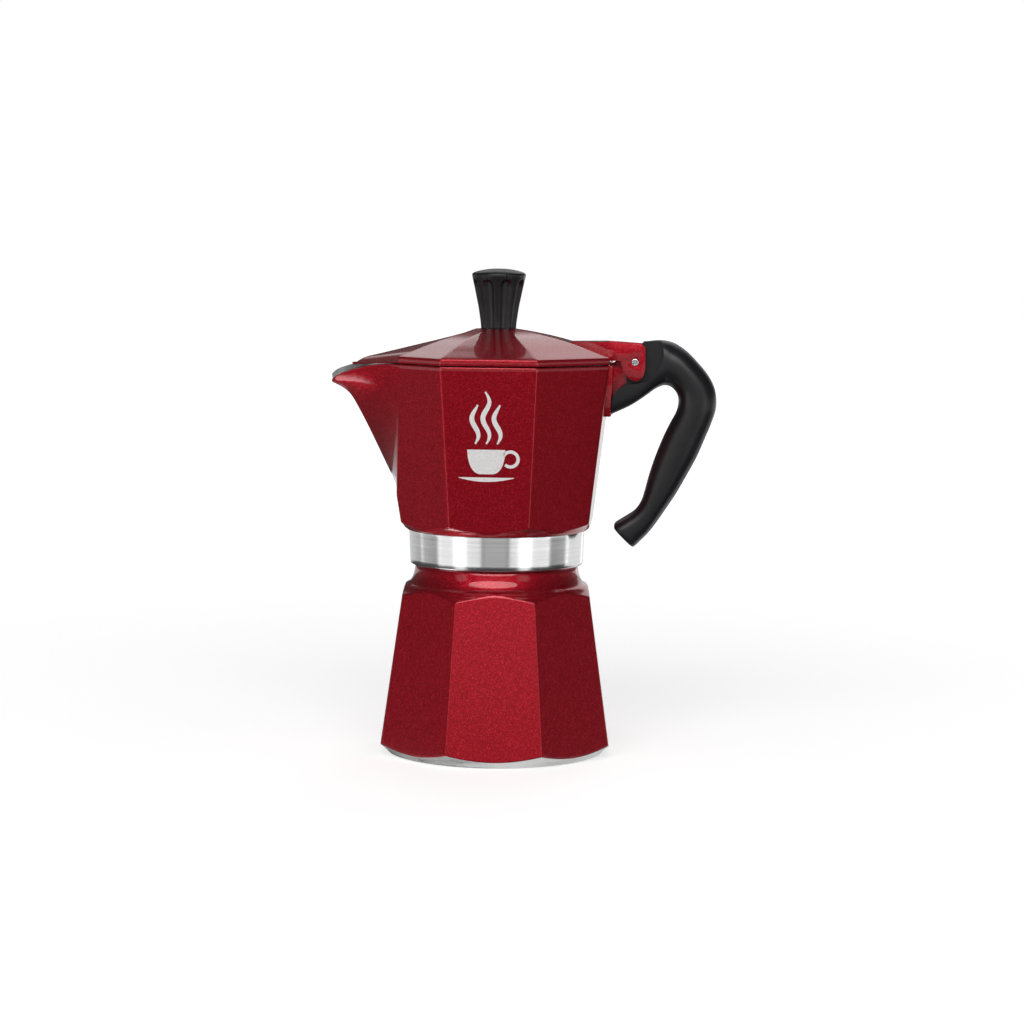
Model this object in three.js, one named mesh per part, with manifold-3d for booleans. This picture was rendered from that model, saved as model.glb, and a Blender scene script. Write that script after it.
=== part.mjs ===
// A stove-top moka pot: boiler, safety valve, funnel, gasket, upper chamber, handle, hinged lid and knob.
// Millimetres, +Z up, origin at the centre of the boiler's underside.
// The spout points to -X and the handle to +X.
import * as THREE from "three";
import { mergeVertices } from "three/addons/utils/BufferGeometryUtils.js";
import Module from "manifold-3d";

const wasm = await Module();
wasm.setup();

// ---- Driving dimensions -------------------------------------------------------------------------

const SIDES = 8;
const HALF_SIDE = Math.PI / SIDES; // half the angle that one facet spans
const ROUND = 36; // segments of a turned surface
const GAP = 0.3; // between pieces that rest on each other
const RUNNING_GAP = 0.08; // radial clearance of a turning fit
const SLIVER = 0.004; // shortest edge that a cut may leave

// Boiler: corner radii of the eight-sided cone, and the turned surfaces that trim it
const BOILER_TURN = THREE.MathUtils.degToRad(4.2); // against the upper chamber, once screwed tight
const BOILER_FOOT_RADIUS = 48.7;
const BOILER_LOW = { z: 5.7, corner: 55.35 };
const BOILER_HIGH = { z: 72.2, corner: 45.4 };
const BOILER_FLOOR = 4.2;
const BOILER_WALL = 3.4;
const NECK_RADIUS = 36.6;
const NECK_TOP = 85.0;
const MOUTH_TOP = 97.6;
const MOUTH_BORE = 30.6;

// Thread between the boiler's mouth and the upper chamber's skirt
const THREAD_PITCH = 3.0;
const THREAD_TURNS = 3;
const THREAD_STEPS = 18; // per turn
const THREAD_DEPTH = 1.1;
const MOUTH_RADIUS = 34.2;
const SKIRT_BORE = 35.9;
const MOUTH_THREAD_START = 87.0;

// Upper chamber
const SKIRT_BOTTOM = 85.4;
const SKIRT_TOP = 101.0;
const SKIRT_LOW_RADIUS = 39.0;
const SKIRT_HIGH_RADIUS = 39.6;
const SEAT_Z = 102.1; // where the gasket presses
const CHAMBER_LOW = { z: 105.2, corner: 46.0 };
const CHAMBER_HIGH = { z: 175.9, corner: 55.1 };
const CHAMBER_FLOOR = 107.0;
const CHAMBER_WALL_LOW = 3.0;
const CHAMBER_WALL_HIGH = 2.3;

// Spout: its two sides leave the diagonal facets at (y = +-SPOUT_ROOT) and meet in a rounded keel
const SPOUT_START = 117.0;
const SPOUT_ROOT_LOW = 18.5;
const SPOUT_ROOT_HIGH = 31.1;
const KEEL_STEPS = 5;
const KEEL = [ // height, reach and radius of the rounded keel, from its root to the lip
  { z: SPOUT_START, reach: 44.2, radius: 0.5 },
  { z: 122.5, reach: 46.9, radius: 2.5 },
  { z: 157.5, reach: 64.6, radius: 3.5 },
  { z: 160.7, reach: 66.7, radius: 4.8 },
  { z: 163.4, reach: 69.6, radius: 6.6 },
  { z: 165.2, reach: 72.8, radius: 9.0 },
  { z: 166.0, reach: 76.2, radius: 10.5 },
  { z: 180.0, reach: 76.2, radius: 11.0 },
];
const LIP = [ // the spout's cut edge, from the tip back to the rim
  [-77.5, 164.7],
  [-76.0, 166.9],
  [-74.0, 169.1],
  [-71.2, 171.1],
  [-67.0, 173.1],
  [-60.0, 174.8],
  [-46.0, 175.9],
];

// Safety valve, on the facet at the back
const VALVE_Z = 50.0;
const VALVE_FACE = 44.0; // distance of the spot face from the boiler's axis
const VALVE_HEX = 13.0; // across flats

// Funnel, filter and gasket
const FLANGE_RADIUS = 33.3;
const FLANGE_Z = MOUTH_TOP + GAP;
const SHEET = 0.9; // wall of the funnel
const BASKET_RADIUS = 29.9;
const BASKET_FLOOR = 70.5;
const STEM_RADIUS = 5.6;
const STEM_BOTTOM = 12.0;
const FUNNEL_FILTER_RADIUS = 27.6;
const GASKET_RADIUS = 33.8;
const GASKET_BORE = 28.4;
const GASKET_BOTTOM = FLANGE_Z + SHEET + GAP;
const FILTER_RADIUS = 30.4;
const FILTER_THICKNESS = 0.7;

// Column
const COLUMN_TOP = 158.0;
const COLUMN_FOOT_RADIUS = 9.5;
const COLUMN_SPIGOT_RADIUS = 6.4;
const COLUMN_BORE = 3.7;

// Lid: rings from under the rim up to the knob's seat. Each gives the octagon's corner radius and
// height, then the reach, the rounding and the height of the ridge that runs down to the beak.
const LID_SHEET = 1.9;
const LID_UNDERSIDE = [[-80, 174.9], [-60, 174.95], [-46, 176.3], [80, 176.3]];
const LID_RINGS = [
  { corner: 55.3, z: 170.0, reach: 66.2, radius: 3.0, ridge: 170.0 },
  { corner: 55.3, z: 179.2, reach: 66.2, radius: 3.0, ridge: 175.5 },
  { corner: 54.3, z: 179.6, reach: 64.8, radius: 2.4, ridge: 176.5 },
  { corner: 46.0, z: 182.2, reach: 54.8, radius: 2.0, ridge: 179.0 },
  { corner: 38.0, z: 184.7, reach: 45.2, radius: 1.8, ridge: 181.4 },
  { corner: 30.0, z: 186.9, reach: 35.6, radius: 1.6, ridge: 183.8 },
  { corner: 22.0, z: 188.7, reach: 26.0, radius: 1.4, ridge: 186.2 },
  { corner: 14.0, z: 190.2, reach: 16.6, radius: 1.2, ridge: 188.7 },
  { corner: 8.8, z: 191.0, reach: 10.4, radius: 1.0, ridge: 191.0 },
];
const LID_RIM = LID_RINGS[1];
// The flat flank beside the beak rises from the rim, over three points of its plane.
const FLANK = { rim: [-41.3, 30.7, 176.7], tip: [-62.5, 2.8, 175.2], hip: [-33.0, 24.4, 184.6] };
const FLANK_PLAN = [FLANK.hip, [-44.6, 33.2], [-72, -1], [-50, -1]];
const LID_SEAT = LID_RINGS.at(-1).z;

// Hinge
const PIN = { x: 61.8, z: 177.0, radius: 1.6, length: 20.4 };
const EAR_OUTER = 10.0; // distance of an ear's outer face from the middle plane
const EAR_INNER = 7.5;
const CHEEK_OUTER = 7.1; // the handle's cheeks between the ears
const CHEEK_INNER = 3.9;
const LUG_HALF_WIDTH = 3.6;
const BRACKET_TOP = 185.8;
const BRACKET_SLOT = 49.5; // where the slot between the ears ends

// Handle
const HANDLE_HALF_WIDTH = 10.5;
const FLANGE_HALF_WIDTH = 9.6;

// Knob
const KNOB_HEIGHT = 26.0;
const KNOB_CAP_RADIUS = 12.1;
const KNOB_FOOT_RADIUS = 7.9;
const KNOB_FLUTES = 8;
const KNOB_BASE = LID_SEAT + GAP;
const SCREW_RADIUS = 1.9;
const SCREW_TOP = 205;
const WASHER_TOP = LID_SEAT - LID_SHEET - 0.1;
const WASHER_BOTTOM = WASHER_TOP - 0.8;

// ---- Materials ----------------------------------------------------------------------------------

const redEnamel = new THREE.MeshStandardMaterial({ color: 0x9c1226, roughness: 0.22, metalness: 0.3 });
const aluminium = new THREE.MeshStandardMaterial({ color: 0xc4c6c9, roughness: 0.35, metalness: 1.0 });
const steel = new THREE.MeshStandardMaterial({ color: 0xa9abae, roughness: 0.25, metalness: 1.0 });
const brass = new THREE.MeshStandardMaterial({ color: 0xc2a055, roughness: 0.3, metalness: 1.0 });
const blackPlastic = new THREE.MeshStandardMaterial({ color: 0x232326, roughness: 0.5, metalness: 0.0 });
const silicone = new THREE.MeshStandardMaterial({ color: 0xe4e0d4, roughness: 0.7, metalness: 0.0 });

// ---- Building blocks ----------------------------------------------------------------------------

// A closed geometry as a solid for joining and cutting, with its faces turned out.
function solid(geometry) {
  const bare = geometry.index ? geometry.toNonIndexed() : geometry.clone();
  bare.deleteAttribute("normal");
  bare.deleteAttribute("uv");
  const merged = mergeVertices(bare, 1e-4);
  const corners = [];
  const index = merged.index.array;
  for (let i = 0; i < index.length; i += 3) {
    const [a, b, c] = [index[i], index[i + 1], index[i + 2]];
    if (a !== b && b !== c && c !== a) corners.push(a, b, c);
  }
  const make = (triVerts) =>
    new wasm.Manifold(
      new wasm.Mesh({ numProp: 3, vertProperties: merged.attributes.position.array, triVerts }),
    );
  const made = make(new Uint32Array(corners));
  return made.volume() > 0 ? made : make(new Uint32Array(corners.reverse()));
}

// A finished solid as a named mesh, without the slivers that joining and cutting leave.
function piece(name, shape, material) {
  const mesh = shape.simplify(SLIVER).getMesh();
  const geometry = new THREE.BufferGeometry();
  geometry.setAttribute("position", new THREE.BufferAttribute(new Float32Array(mesh.vertProperties), 3));
  geometry.setIndex(new THREE.BufferAttribute(new Uint32Array(mesh.triVerts), 1));
  geometry.computeVertexNormals();
  const made = new THREE.Mesh(geometry, material);
  made.name = name;
  return made;
}

// A profile of [radius, height] points turned about Z.
// Both ends lie on the axis, or the profile closes on itself.
function turned(profile, segments = ROUND, start = 0) {
  const points = profile.map(([radius, height]) => new THREE.Vector2(radius, height));
  return solid(new THREE.LatheGeometry(points, segments, start).rotateX(Math.PI / 2));
}

// The same with eight flat sides. The radii are those of the corners, and the facets face along X and Y.
const octagonal = (profile) => turned(profile, SIDES, HALF_SIDE);

const disc = (radius, bottom, top, segments = ROUND) =>
  turned([[0, bottom], [radius, bottom], [radius, top], [0, top]], segments);

const ring = (inner, outer, bottom, top, segments = ROUND) =>
  turned([[inner, bottom], [outer, bottom], [outer, top], [inner, top], [inner, bottom]], segments);

function box(x0, x1, y0, y1, z0, z1) {
  const block = new THREE.BoxGeometry(x1 - x0, y1 - y0, z1 - z0);
  return solid(block.translate((x0 + x1) / 2, (y0 + y1) / 2, (z0 + z1) / 2));
}

// An outline in the XZ plane, given as a Shape, made into a plate from y0 to y1.
function plate(shape, y0, y1, options = {}) {
  const geometry = new THREE.ExtrudeGeometry(shape, { depth: y1 - y0, bevelEnabled: false, ...options });
  return solid(geometry.rotateX(Math.PI / 2).translate(0, y1, 0));
}

const outline = (points) => new THREE.Shape(points.map(([x, z]) => new THREE.Vector2(x, z)));

// Rings of points, each the same count, skinned into one closed body.
function loft(rings) {
  const count = rings[0].length;
  const vertices = rings.flat().flatMap((point) => [point.x, point.y, point.z]);
  const faces = [];
  for (let level = 0; level + 1 < rings.length; level++) {
    for (let i = 0; i < count; i++) {
      const a = level * count + i;
      const b = level * count + ((i + 1) % count);
      faces.push(a, b, b + count, a, b + count, a + count);
    }
  }
  const last = (rings.length - 1) * count;
  for (let i = 1; i + 1 < count; i++) faces.push(0, i + 1, i, last, last + i, last + i + 1);
  const geometry = new THREE.BufferGeometry();
  geometry.setAttribute("position", new THREE.Float32BufferAttribute(vertices, 3));
  geometry.setIndex(faces);
  return solid(geometry);
}

// Value at x of a line through listed [x, value] points.
function along(points, x) {
  const next = Math.max(1, points.findIndex(([at]) => at >= x));
  const [[x0, v0], [x1, v1]] = [points[next - 1], points[next]];
  return THREE.MathUtils.mapLinear(x, x0, x1, v0, v1);
}

// A cylinder along Y.
const crossBar = (radius, x, z, y0, y1, segments = 24) =>
  solid(new THREE.CylinderGeometry(radius, radius, y1 - y0, segments).translate(x, (y0 + y1) / 2, z));

// A helical ridge: root and crest radii, one end of its thread axis, and its height above the start.
function threadRidge(root, crest, start, startAngle) {
  const rootHalf = 0.75;
  const crestHalf = 0.3;
  const rings = [];
  for (let step = 0; step <= THREAD_TURNS * THREAD_STEPS; step++) {
    const turns = step / THREAD_STEPS;
    const angle = startAngle + turns * 2 * Math.PI;
    const z = start + turns * THREAD_PITCH;
    const at = (radius, height) =>
      new THREE.Vector3(radius * Math.cos(angle), radius * Math.sin(angle), z + height);
    rings.push([at(root, -rootHalf), at(crest, -crestHalf), at(crest, crestHalf), at(root, rootHalf)]);
  }
  return loft(rings);
}

// Turned about the vertical axis with the boiler.
const withBoiler = (shape) => shape.rotate([0, 0, THREE.MathUtils.radToDeg(BOILER_TURN)]);

// ---- Boiler -------------------------------------------------------------------------------------

function boiler() {
  const cone = octagonal([
    [0, 0],
    [BOILER_LOW.corner + 0.86, 0],
    [BOILER_HIGH.corner - 0.86, BOILER_HIGH.z + 5.7],
    [0, BOILER_HIGH.z + 5.7],
  ]);
  const trim = turned([
    [0, 0],
    [BOILER_FOOT_RADIUS, 0],
    [51.2, 2.7],
    [BOILER_LOW.corner, BOILER_LOW.z],
    [58, 8.2],
    [58, 60],
    [BOILER_HIGH.corner, BOILER_HIGH.z],
    [42.4, 74.1],
    [40.9, 76.0],
    [0, 76.0],
  ]);
  const neck = turned([
    [0, 70],
    [40.9, 70],
    [40.9, 75.9],
    [39.4, 77.0],
    [38.2, 78.6],
    [37.2, 81.0],
    [NECK_RADIUS, NECK_TOP],
    [MOUTH_RADIUS, NECK_TOP],
    [MOUTH_RADIUS, MOUTH_TOP - 0.8],
    [MOUTH_RADIUS - 0.8, MOUTH_TOP],
    [0, MOUTH_TOP],
  ]);
  const water = turned([
    [0, BOILER_FLOOR],
    [43.5, BOILER_FLOOR],
    [47.6 - BOILER_WALL / 4, BOILER_FLOOR + 4],
    [41.9 - BOILER_WALL, 69],
    [MOUTH_BORE + 2.6, 78],
    [MOUTH_BORE, 83],
    [MOUTH_BORE, MOUTH_TOP + 2],
    [0, MOUTH_TOP + 2],
  ]);
  const thread = threadRidge(MOUTH_RADIUS - 0.3, MOUTH_RADIUS + THREAD_DEPTH, MOUTH_THREAD_START, 0);
  const spotFace = crossBar(9, 0, VALVE_Z, VALVE_FACE, VALVE_FACE + 20, 32);
  const valveHole = crossBar(4.8, 0, VALVE_Z, 30, 60);
  return cone.intersect(trim).add(neck).add(thread).subtract(water).subtract(spotFace).subtract(valveHole);
}

// ---- Safety valve: every piece turned about an axis along Y -----------------------------------------

// A profile of [radius, distance from the boiler's axis] points, turned about the valve's axis.
function valveTurned(profile, segments = 16) {
  const points = profile.map(([radius, y]) => new THREE.Vector2(radius, y));
  return solid(new THREE.LatheGeometry(points, segments).translate(0, 0, VALVE_Z));
}

const valveRing = (inner, outer, y0, y1, segments) =>
  valveTurned([[inner, y0], [outer, y0], [outer, y1], [inner, y1], [inner, y0]], segments);

const WASHER_FACE = VALVE_FACE + 0.1;
const HEX_FACE = WASHER_FACE + 1.1;
const HEX_END = HEX_FACE + 5.0;
const NOSE_END = HEX_END + 3.0;
const VALVE_INLET_END = 41.0;
const PISTON_HEAD = VALVE_INLET_END + 1.3;
const PISTON_HEAD_END = PISTON_HEAD + 1.5;
const RETAINER_START = NOSE_END - 2.0;

function safetyValveBody() {
  const hexCorner = VALVE_HEX / 2 / Math.cos(Math.PI / 6);
  const hexagon = valveTurned([
    [0, HEX_FACE],
    [hexCorner, HEX_FACE],
    [hexCorner, HEX_END],
    [0, HEX_END],
  ], 6);
  const barrel = valveTurned([[0, 37.5], [4.4, 37.5], [4.4, NOSE_END], [0, NOSE_END]]);
  const chamber = valveTurned([
    [0, 36],
    [1.8, 36],
    [1.8, VALVE_INLET_END],
    [3.2, VALVE_INLET_END],
    [3.2, NOSE_END + 1],
    [0, NOSE_END + 1],
  ]);
  return hexagon.add(barrel).subtract(chamber);
}

const safetyValveWasher = () => valveRing(4.9, 7.4, WASHER_FACE, HEX_FACE - 0.1, 24);
const safetyValveSeal = () => valveRing(1.0, 2.8, VALVE_INLET_END + 0.1, PISTON_HEAD - 0.1);
const safetyValveRetainer = () => valveRing(1.5, 3.1, RETAINER_START, NOSE_END - 0.4);

function safetyValvePiston() {
  return valveTurned([
    [0, VALVE_INLET_END + 0.2], [0.8, VALVE_INLET_END + 0.2], [0.8, PISTON_HEAD], [2.9, PISTON_HEAD],
    [2.9, PISTON_HEAD_END], [1.2, PISTON_HEAD_END], [1.2, NOSE_END + 1.2], [0.8, NOSE_END + 1.7],
    [0, NOSE_END + 1.7],
  ]);
}

function safetyValveSpring() {
  const turns = 4;
  const wire = 0.35;
  const coil = 2.1;
  const [from, to] = [PISTON_HEAD_END + wire + 0.15, RETAINER_START - wire - 0.15];
  const helix = new THREE.Curve();
  helix.getPoint = (t, target = new THREE.Vector3()) => {
    const angle = t * turns * 2 * Math.PI;
    return target.set(coil * Math.cos(angle), from + t * (to - from), VALVE_Z + coil * Math.sin(angle));
  };
  const section = new THREE.Shape();
  section.absarc(0, 0, wire, 0, 2 * Math.PI);
  const options = { extrudePath: helix, steps: turns * 10, curveSegments: 3 };
  return solid(new THREE.ExtrudeGeometry(section, options));
}

// ---- Funnel, gasket and filter plate ------------------------------------------------------------

function funnel() {
  const cone = 64.5; // where the basket's cone runs into the stem
  return turned([
    [BASKET_RADIUS, FLANGE_Z],
    [FLANGE_RADIUS, FLANGE_Z],
    [FLANGE_RADIUS, FLANGE_Z + SHEET],
    [BASKET_RADIUS - SHEET, FLANGE_Z + SHEET],
    [BASKET_RADIUS - SHEET - 0.8, BASKET_FLOOR],
    [STEM_RADIUS - SHEET, cone + 0.4],
    [STEM_RADIUS - SHEET - 0.2, STEM_BOTTOM],
    [STEM_RADIUS - 0.2, STEM_BOTTOM],
    [STEM_RADIUS, cone - 0.5],
    [BASKET_RADIUS - 0.8, BASKET_FLOOR - 0.8],
    [BASKET_RADIUS, FLANGE_Z],
  ]);
}

// A disc with rings of small holes: each ring is [radius, number of holes].
function perforated(radius, bottom, thickness, rings, holeRadius) {
  let made = disc(radius, bottom, bottom + thickness);
  for (const [ringRadius, count] of rings) {
    for (let i = 0; i < count; i++) {
      const angle = (i / count) * 2 * Math.PI;
      const hole = disc(holeRadius, bottom - 1, bottom + thickness + 1, 6);
      made = made.subtract(hole.translate([ringRadius * Math.cos(angle), ringRadius * Math.sin(angle), 0]));
    }
  }
  return made;
}

const funnelFilter = () =>
  perforated(FUNNEL_FILTER_RADIUS, BASKET_FLOOR + GAP, FILTER_THICKNESS, [[9, 6], [19, 12]], 0.8);

const filterPlate = () =>
  perforated(FILTER_RADIUS, GASKET_BOTTOM, FILTER_THICKNESS, [[10, 7], [21, 14]], 0.8);

function gasket() {
  const step = GASKET_BOTTOM + FILTER_THICKNESS + GAP;
  return turned([
    [FILTER_RADIUS + 0.2, GASKET_BOTTOM],
    [GASKET_RADIUS, GASKET_BOTTOM],
    [GASKET_RADIUS, SEAT_Z - 0.1],
    [GASKET_BORE, SEAT_Z - 0.1],
    [GASKET_BORE, step],
    [FILTER_RADIUS + 0.2, step],
    [FILTER_RADIUS + 0.2, GASKET_BOTTOM],
  ]);
}

// ---- Upper chamber ------------------------------------------------------------------------------

const chamberCorner = (z) =>
  THREE.MathUtils.mapLinear(z, CHAMBER_LOW.z, CHAMBER_HIGH.z, CHAMBER_LOW.corner, CHAMBER_HIGH.corner);

// The spout in plan: the end of one side, the rounded keel, the end of the other side.
// The sides run from (rootX, +-rootY) and touch the keel's arc.
function spoutPlan(rootX, rootY, reach, radius) {
  const root = new THREE.Vector2(rootX, rootY);
  const centre = new THREE.Vector2(radius - reach, 0);
  const away = root.clone().sub(centre);
  const touch = away.angle() + Math.acos(radius / away.length());
  const points = [root];
  for (let i = 0; i < KEEL_STEPS; i++) {
    const angle = THREE.MathUtils.lerp(touch, 2 * Math.PI - touch, i / (KEEL_STEPS - 1));
    points.push(new THREE.Vector2(centre.x + radius * Math.cos(angle), radius * Math.sin(angle)));
  }
  points.push(new THREE.Vector2(rootX, -rootY));
  return points;
}

// Where the spout's side leaves the diagonal facet.
const spoutRootX = (corner, rootY) => rootY - corner * Math.cos(HALF_SIDE) * Math.SQRT2;

// An octagon drawn out into a spout at -X, counter-clockwise.
const OCTAGON_CORNERS = [-2.5, -1.5, -0.5, 0.5, 1.5, 2.5]; // those beside and behind the spout, in facets

function spoutedOctagon(corner, rootY, reach, radius) {
  const corners = OCTAGON_CORNERS.map((side) => {
    const angle = side * 2 * HALF_SIDE;
    return new THREE.Vector2(corner * Math.cos(angle), corner * Math.sin(angle));
  });
  return [...corners, ...spoutPlan(spoutRootX(corner, rootY), rootY, reach, radius)];
}

// Outline of the upper chamber at a height.
function chamberOutline(z) {
  const corner = chamberCorner(z);
  const rising = THREE.MathUtils.clamp((z - SPOUT_START) / (CHAMBER_HIGH.z - SPOUT_START), 0, 1);
  const spread = THREE.MathUtils.lerp(SPOUT_ROOT_LOW, SPOUT_ROOT_HIGH, rising);
  const rootY = Math.max(corner * Math.sin(HALF_SIDE), spread);
  const facet = corner * Math.cos(HALF_SIDE) + 0.02;
  if (z < SPOUT_START) return spoutedOctagon(corner, rootY, facet, KEEL[0].radius);
  const reach = along(KEEL.map((at) => [at.z, at.reach]), z);
  const radius = along(KEEL.map((at) => [at.z, at.radius]), z);
  return spoutedOctagon(corner, rootY, Math.max(reach, facet), radius);
}

// The outline moved inwards by a wall.
function inset(points, wall) {
  const count = points.length;
  const normals = points.map((point, i) => {
    const next = points[(i + 1) % count];
    return new THREE.Vector2(next.y - point.y, point.x - next.x).normalize();
  });
  return points.map((point, i) => {
    const [before, after] = [normals[(i + count - 1) % count], normals[i]];
    const miter = before.clone().add(after).multiplyScalar(-wall / (1 + before.dot(after)));
    return point.clone().add(miter);
  });
}

const level = (points, z) => points.map((point) => new THREE.Vector3(point.x, point.y, z));

const SPOUT_LEVELS = [
  SPOUT_START, 119.5, 122.5, 140, 157.5, 160.7, 163.4, 165.2, 166, 170, CHAMBER_HIGH.z,
];

const chamberWall = (z) =>
  THREE.MathUtils.mapLinear(z, CHAMBER_FLOOR, CHAMBER_HIGH.z, CHAMBER_WALL_LOW, CHAMBER_WALL_HIGH);

// The plate that carries the handle, and the hinge lug that reaches into it.
function handleLug() {
  const flange = outline([[46, 152.6], [51.3, 152.6], [52.1, 175.3], [46, 175.3]]);
  const boss = 4.8;
  const lug = new THREE.Shape();
  lug.moveTo(49, 157);
  lug.lineTo(57, 158.6);
  lug.lineTo(63.5, 162.5);
  lug.lineTo(66.3, 168);
  lug.absarc(PIN.x, PIN.z, boss, -Math.PI / 8, (2 / 3) * Math.PI);
  lug.lineTo(52, 176.6);
  lug.lineTo(49, 175.3);
  const back = plate(flange, -FLANGE_HALF_WIDTH, FLANGE_HALF_WIDTH);
  return back.add(plate(lug, -LUG_HALF_WIDTH, LUG_HALF_WIDTH));
}

// The round skirt under the chamber, with the thread inside it.
function skirt() {
  const wall = turned([
    [SKIRT_BORE + 0.8, SKIRT_BOTTOM],
    [SKIRT_LOW_RADIUS - 0.6, SKIRT_BOTTOM],
    [SKIRT_LOW_RADIUS, SKIRT_BOTTOM + 0.7],
    [SKIRT_HIGH_RADIUS, SKIRT_TOP],
    [SKIRT_HIGH_RADIUS, CHAMBER_LOW.z],
    [SKIRT_BORE, CHAMBER_LOW.z],
    [SKIRT_BORE, SKIRT_BOTTOM + 0.8],
    [SKIRT_BORE + 0.8, SKIRT_BOTTOM],
  ]);
  const start = MOUTH_THREAD_START + THREAD_PITCH / 2;
  return wall.add(threadRidge(SKIRT_BORE + 0.3, SKIRT_BORE - THREAD_DEPTH, start, 0));
}

function collector() {
  const levels = [98, CHAMBER_LOW.z, ...SPOUT_LEVELS];
  const outside = loft(levels.map((z) => level(chamberOutline(z), z)));
  const trim = turned([
    [0, SKIRT_TOP - 0.4],
    [SKIRT_HIGH_RADIUS + 0.3, SKIRT_TOP - 0.4],
    [41.5, 101.7],
    [42.5, 103.1],
    [46.1, 105.3],
    [50, 107.5],
    [95, 125],
    [95, 180],
    [0, 180],
  ]);
  const insideLevels = [CHAMBER_FLOOR, ...SPOUT_LEVELS, CHAMBER_HIGH.z + 4];
  const inside = loft(insideLevels.map((z) => level(inset(chamberOutline(z), chamberWall(z)), z)));
  const lipCut = plate(outline([...LIP, [-46, 200], [-90, 200], [-90, 165.6]]), -40, 40);
  const seat = turned([
    [0, 90],
    [SKIRT_BORE, 90],
    [SKIRT_BORE, SEAT_Z],
    [GASKET_BORE + 0.5, SEAT_Z],
    [COLUMN_SPIGOT_RADIUS + 0.1, SEAT_Z + 1.6],
    [COLUMN_SPIGOT_RADIUS + 0.1, CHAMBER_FLOOR + 2],
    [0, CHAMBER_FLOOR + 2],
  ]);
  return outside
    .intersect(trim)
    .subtract(lipCut)
    .subtract(seat)
    .add(skirt())
    .add(handleLug())
    .subtract(inside)
    .subtract(crossBar(PIN.radius + 0.1, PIN.x, PIN.z, -20, 20));
}

// The pipe that the coffee rises in: open at the foot, with two slots under its cap.
function coffeeColumn() {
  const foot = CHAMBER_FLOOR + GAP / 3;
  const pipe = turned([
    [0, SEAT_Z + 1.7],
    [COLUMN_SPIGOT_RADIUS, SEAT_Z + 1.7],
    [COLUMN_SPIGOT_RADIUS, foot],
    [COLUMN_FOOT_RADIUS, foot],
    [COLUMN_FOOT_RADIUS, foot + 1.2],
    [8.2, foot + 5],
    [6.6, 130],
    [5.6, COLUMN_TOP - 3],
    [4.2, COLUMN_TOP - 0.8],
    [0, COLUMN_TOP],
  ], 24);
  const bore = disc(COLUMN_BORE, SEAT_Z, COLUMN_TOP - 4, 18);
  const slots = box(-12, 12, -2.2, 2.2, COLUMN_TOP - 11, COLUMN_TOP - 5);
  return pipe.subtract(bore).subtract(slots);
}

// ---- Handle -------------------------------------------------------------------------------------

// Side view: arm, inside of the grip, flared foot, outside of the grip, tongue.
function handleOutline() {
  const side = new THREE.Shape();
  side.moveTo(51.7, 153.9);
  side.bezierCurveTo(61.5, 157.2, 68.5, 166.6, 75.3, 166.7);
  side.bezierCurveTo(80.5, 166.5, 82.8, 160.5, 79.8, 154.2);
  side.bezierCurveTo(74.5, 144.5, 69.5, 132.5, 66.6, 120.0);
  side.bezierCurveTo(64.6, 110.6, 60.5, 108.2, 53.4, 104.4);
  side.lineTo(52.8, 102.0);
  side.lineTo(61.4, 94.1);
  side.lineTo(63.6, 94.8);
  side.bezierCurveTo(73.0, 106.0, 82.5, 120.5, 88.9, 133.2);
  side.bezierCurveTo(94.5, 144.5, 98.1, 152.5, 98.1, 160.3);
  side.bezierCurveTo(98.1, 168.0, 91.5, 176.5, 85.6, 181.2);
  side.bezierCurveTo(81.5, 184.9, 77.0, 186.7, 72.5, 186.6);
  side.lineTo(65.2, 186.0);
  side.lineTo(63.6, 184.2);
  side.lineTo(58.6, 182.6);
  side.lineTo(57.7, 181.0);
  side.lineTo(57.7, 167.2);
  side.quadraticCurveTo(52.2, 164.6, 51.95, 160.0);
  return side;
}

// The hollows beside the tongue that the lid's ears turn in.
function earPocket() {
  const pocket = new THREE.Shape();
  pocket.moveTo(50, 195);
  pocket.lineTo(50, 160);
  pocket.lineTo(51.95, 160);
  pocket.quadraticCurveTo(52.8, 167.2, 62.8, 167.6);
  pocket.bezierCurveTo(67.5, 168.2, 72.8, 173.0, 74.3, 179.5);
  pocket.bezierCurveTo(74.9, 182.0, 74.2, 183.0, 74.2, 195);
  return pocket;
}

function handle() {
  const bevel = 2;
  const body = plate(handleOutline(), -HANDLE_HALF_WIDTH + bevel, HANDLE_HALF_WIDTH - bevel, {
    bevelEnabled: true,
    bevelThickness: bevel,
    bevelSize: bevel,
    bevelOffset: -bevel,
    bevelSegments: 2,
    curveSegments: 6,
  });
  const lugSlot = outline([
    [48, 156.6], [57.2, 158.2], [64, 162.1], [66.8, 167.8], [67.2, 177], [66.4, 180.8], [62, 183],
    [61, 190], [48, 190],
  ]);
  return body
    .subtract(plate(earPocket(), CHEEK_OUTER, CHEEK_OUTER + 9))
    .subtract(plate(earPocket(), -CHEEK_OUTER - 9, -CHEEK_OUTER))
    .subtract(plate(lugSlot, -CHEEK_INNER, CHEEK_INNER))
    .subtract(crossBar(PIN.radius + 0.1, PIN.x, PIN.z, -20, 20));
}

const hingePin = () => crossBar(PIN.radius, PIN.x, PIN.z, -PIN.length / 2, PIN.length / 2);

// ---- Lid ----------------------------------------------------------------------------------------

// An upright prism on a plan outline.
const prism = (points, bottom, top) => loft([level(points, bottom), level(points, top)]);

// One ring of the lid, moved inwards by a wall and down by a drop.
function lidRing({ corner, z, reach, radius, ridge }, wall = 0, drop = 0) {
  const rootY = (SPOUT_ROOT_HIGH * corner) / LID_RIM.corner;
  const plan = inset(spoutedOctagon(corner, rootY, reach, radius), wall);
  const onBeak = (i) => i > OCTAGON_CORNERS.length && i < plan.length - 1;
  return plan.map((point, i) => new THREE.Vector3(point.x, point.y, (onBeak(i) ? ridge : z) - drop));
}

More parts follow.
